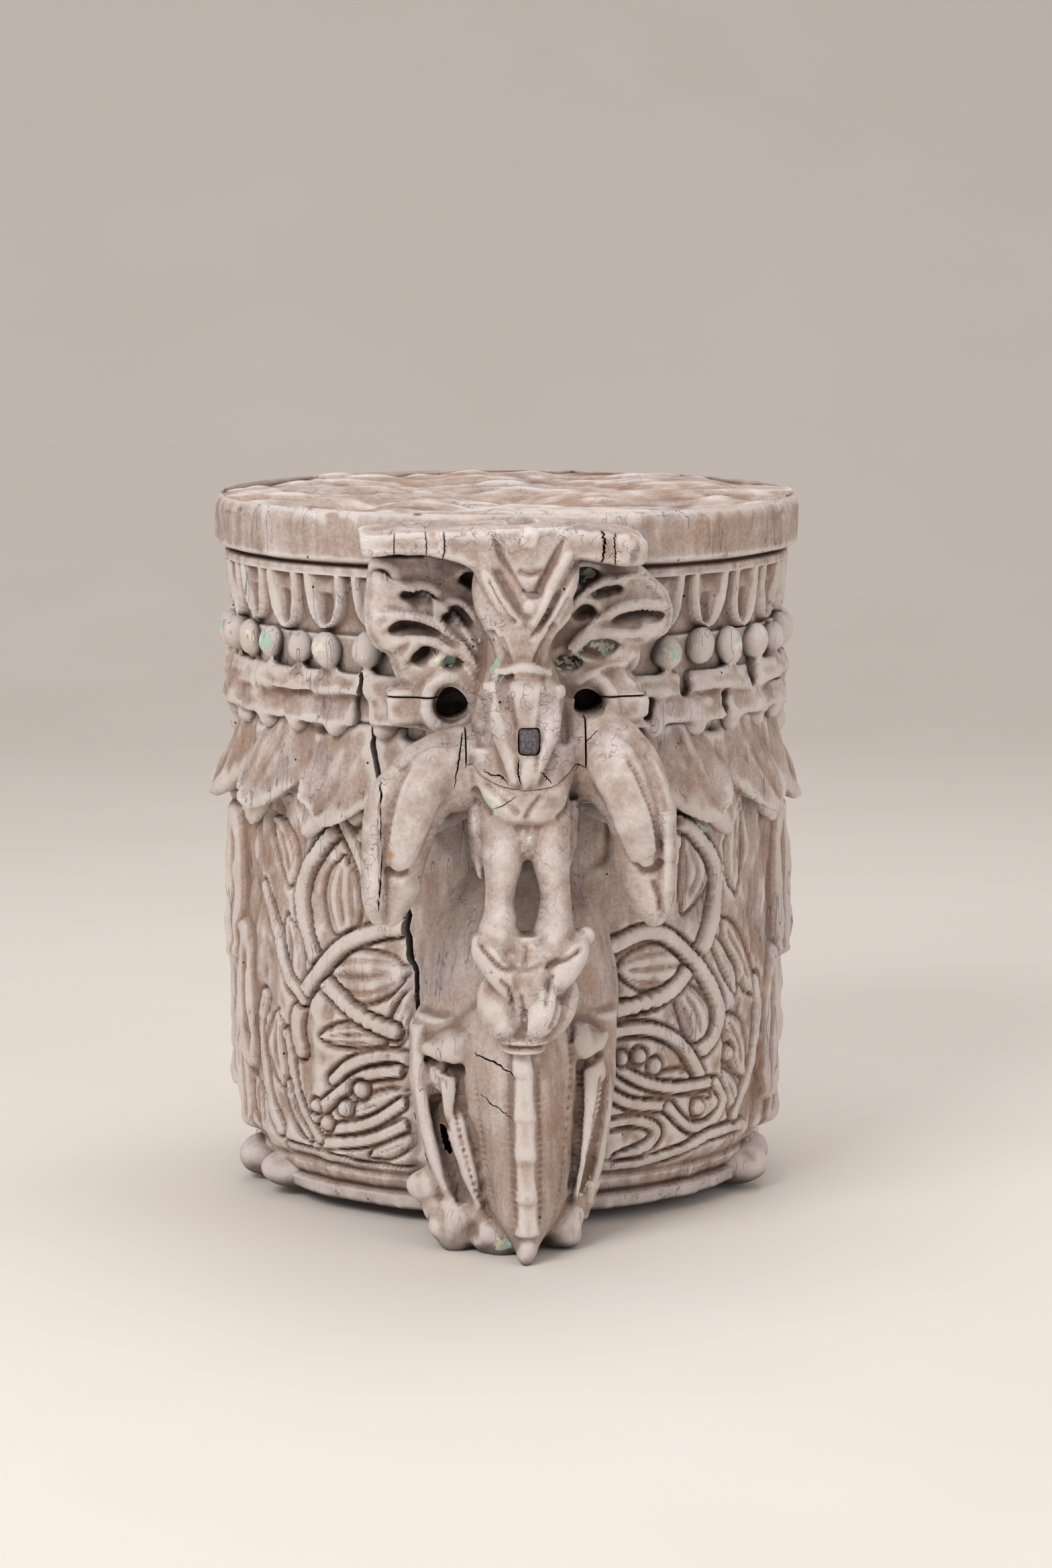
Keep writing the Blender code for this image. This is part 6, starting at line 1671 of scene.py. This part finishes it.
def swept_floor():
    """A pale floor that runs flat under the object and curves up into a wall far behind it: a quarter circle
    of 2 m joins the two."""
    bend = np.linspace(0.0, math.pi / 2, 24)
    back = 2.2
    sweep = 2.0
    y = np.concatenate([[-8.0], back + sweep * np.sin(bend), [back + sweep]])
    z = np.concatenate([[0.0], sweep - sweep * np.cos(bend), [sweep + 4.0]]) - FOOT_DROP
    x = np.array([-8.0, 8.0])
    front = np.stack(np.broadcast_arrays(x[None], y[:, None], z[:, None]), -1)
    lift = np.concatenate([[0.0], np.sin(bend), [1.0]]) * 0.1
    drop = np.concatenate([[1.0], np.cos(bend), [0.0]]) * 0.1
    behind = np.stack(np.broadcast_arrays(x[None], (y + lift)[:, None], (z - drop)[:, None]), -1)
    return shell(front, behind)


# Lamps: name, place, power in watts and size; all look at the lit place
LIT_PLACE = (0.0, -0.05, 0.24)
LAMPS = (("key", (-1.4, -2.1, 2.0), 50.0, 1.2), ("fill", (1.9, -1.7, 0.9), 12.0, 1.6),
         ("top", (0.2, 0.5, 2.3), 20.0, 1.4))
# The photograph's viewing angle: lens in mm on a 36 mm high frame, distance and eye height, turns in radians
LENS = 103.69
DISTANCE = 6.601 * HEIGHT
EYE_HEIGHT = 1.5152 * HEIGHT
YAW = 0.04593
AIM = 0.00424
PITCH = 0.14313


def build_stage():
    """Floor, lights, world and the camera at the photograph's viewing angle."""
    floor = new_object("floor", swept_floor())
    floor.data.materials.append(pale_floor("pale_floor"))
    floor.data.polygons.foreach_set("use_smooth", np.ones(len(floor.data.polygons), bool))
    floor.data.set_sharp_from_angle(angle=math.radians(40.0))

    world = bpy.data.worlds.new("studio")
    bpy.context.scene.world = world
    world.use_nodes = True
    world.node_tree.nodes["Background"].inputs[0].default_value = STUDIO_AIR
    world.node_tree.nodes["Background"].inputs[1].default_value = 0.60

    target = Vector(LIT_PLACE)
    for name, where, power, size in LAMPS:
        light = bpy.data.lights.new(name, "AREA")
        light.energy = power
        light.size = size
        lamp = bpy.data.objects.new(name, light)
        lamp.location = where
        lamp.rotation_euler = (target - Vector(where)).to_track_quat("-Z", "Y").to_euler()
        bpy.context.scene.collection.objects.link(lamp)

    data = bpy.data.cameras.new("camera")
    data.sensor_fit = "VERTICAL"
    data.sensor_height = 36.0
    data.lens = LENS
    camera = bpy.data.objects.new("camera", data)
    place = Matrix.Translation((-DISTANCE * math.sin(YAW), -DISTANCE * math.cos(YAW), EYE_HEIGHT))
    camera.matrix_world = (place @ Matrix.Rotation(-YAW - AIM, 4, "Z")
                           @ Matrix.Rotation(math.pi / 2 - PITCH, 4, "X"))
    bpy.context.scene.collection.objects.link(camera)
    bpy.context.scene.camera = camera
    bpy.context.scene.view_settings.view_transform = "Standard"


def main():
    """Build every piece and hand it to the frame."""
    drum_wood = wood("weathered_drum_wood", UPRIGHT, EVEN, 0.85, 0.5)
    upper_wood = wood("weathered_end_grain", FORWARD, (1.0, 0.4, 1.0), 0.35, 0.85)
    lower_wood = wood("weathered_bird_wood", FORWARD, (1.0, 0.5, 0.6), 0.45, 0.8)
    for made in build_drum():
        add_dabs(made)
        piece(made, "capital_drum", drum_wood)
    upper, lower = build_bracket()
    add_dabs(upper)
    add_dabs(lower)
    piece(upper, "bracket_upper", upper_wood)
    piece(lower, "bracket_lower", lower_wood)
    piece(build_nail(), "iron_nail", iron("old_iron"))
    build_stage()


main()
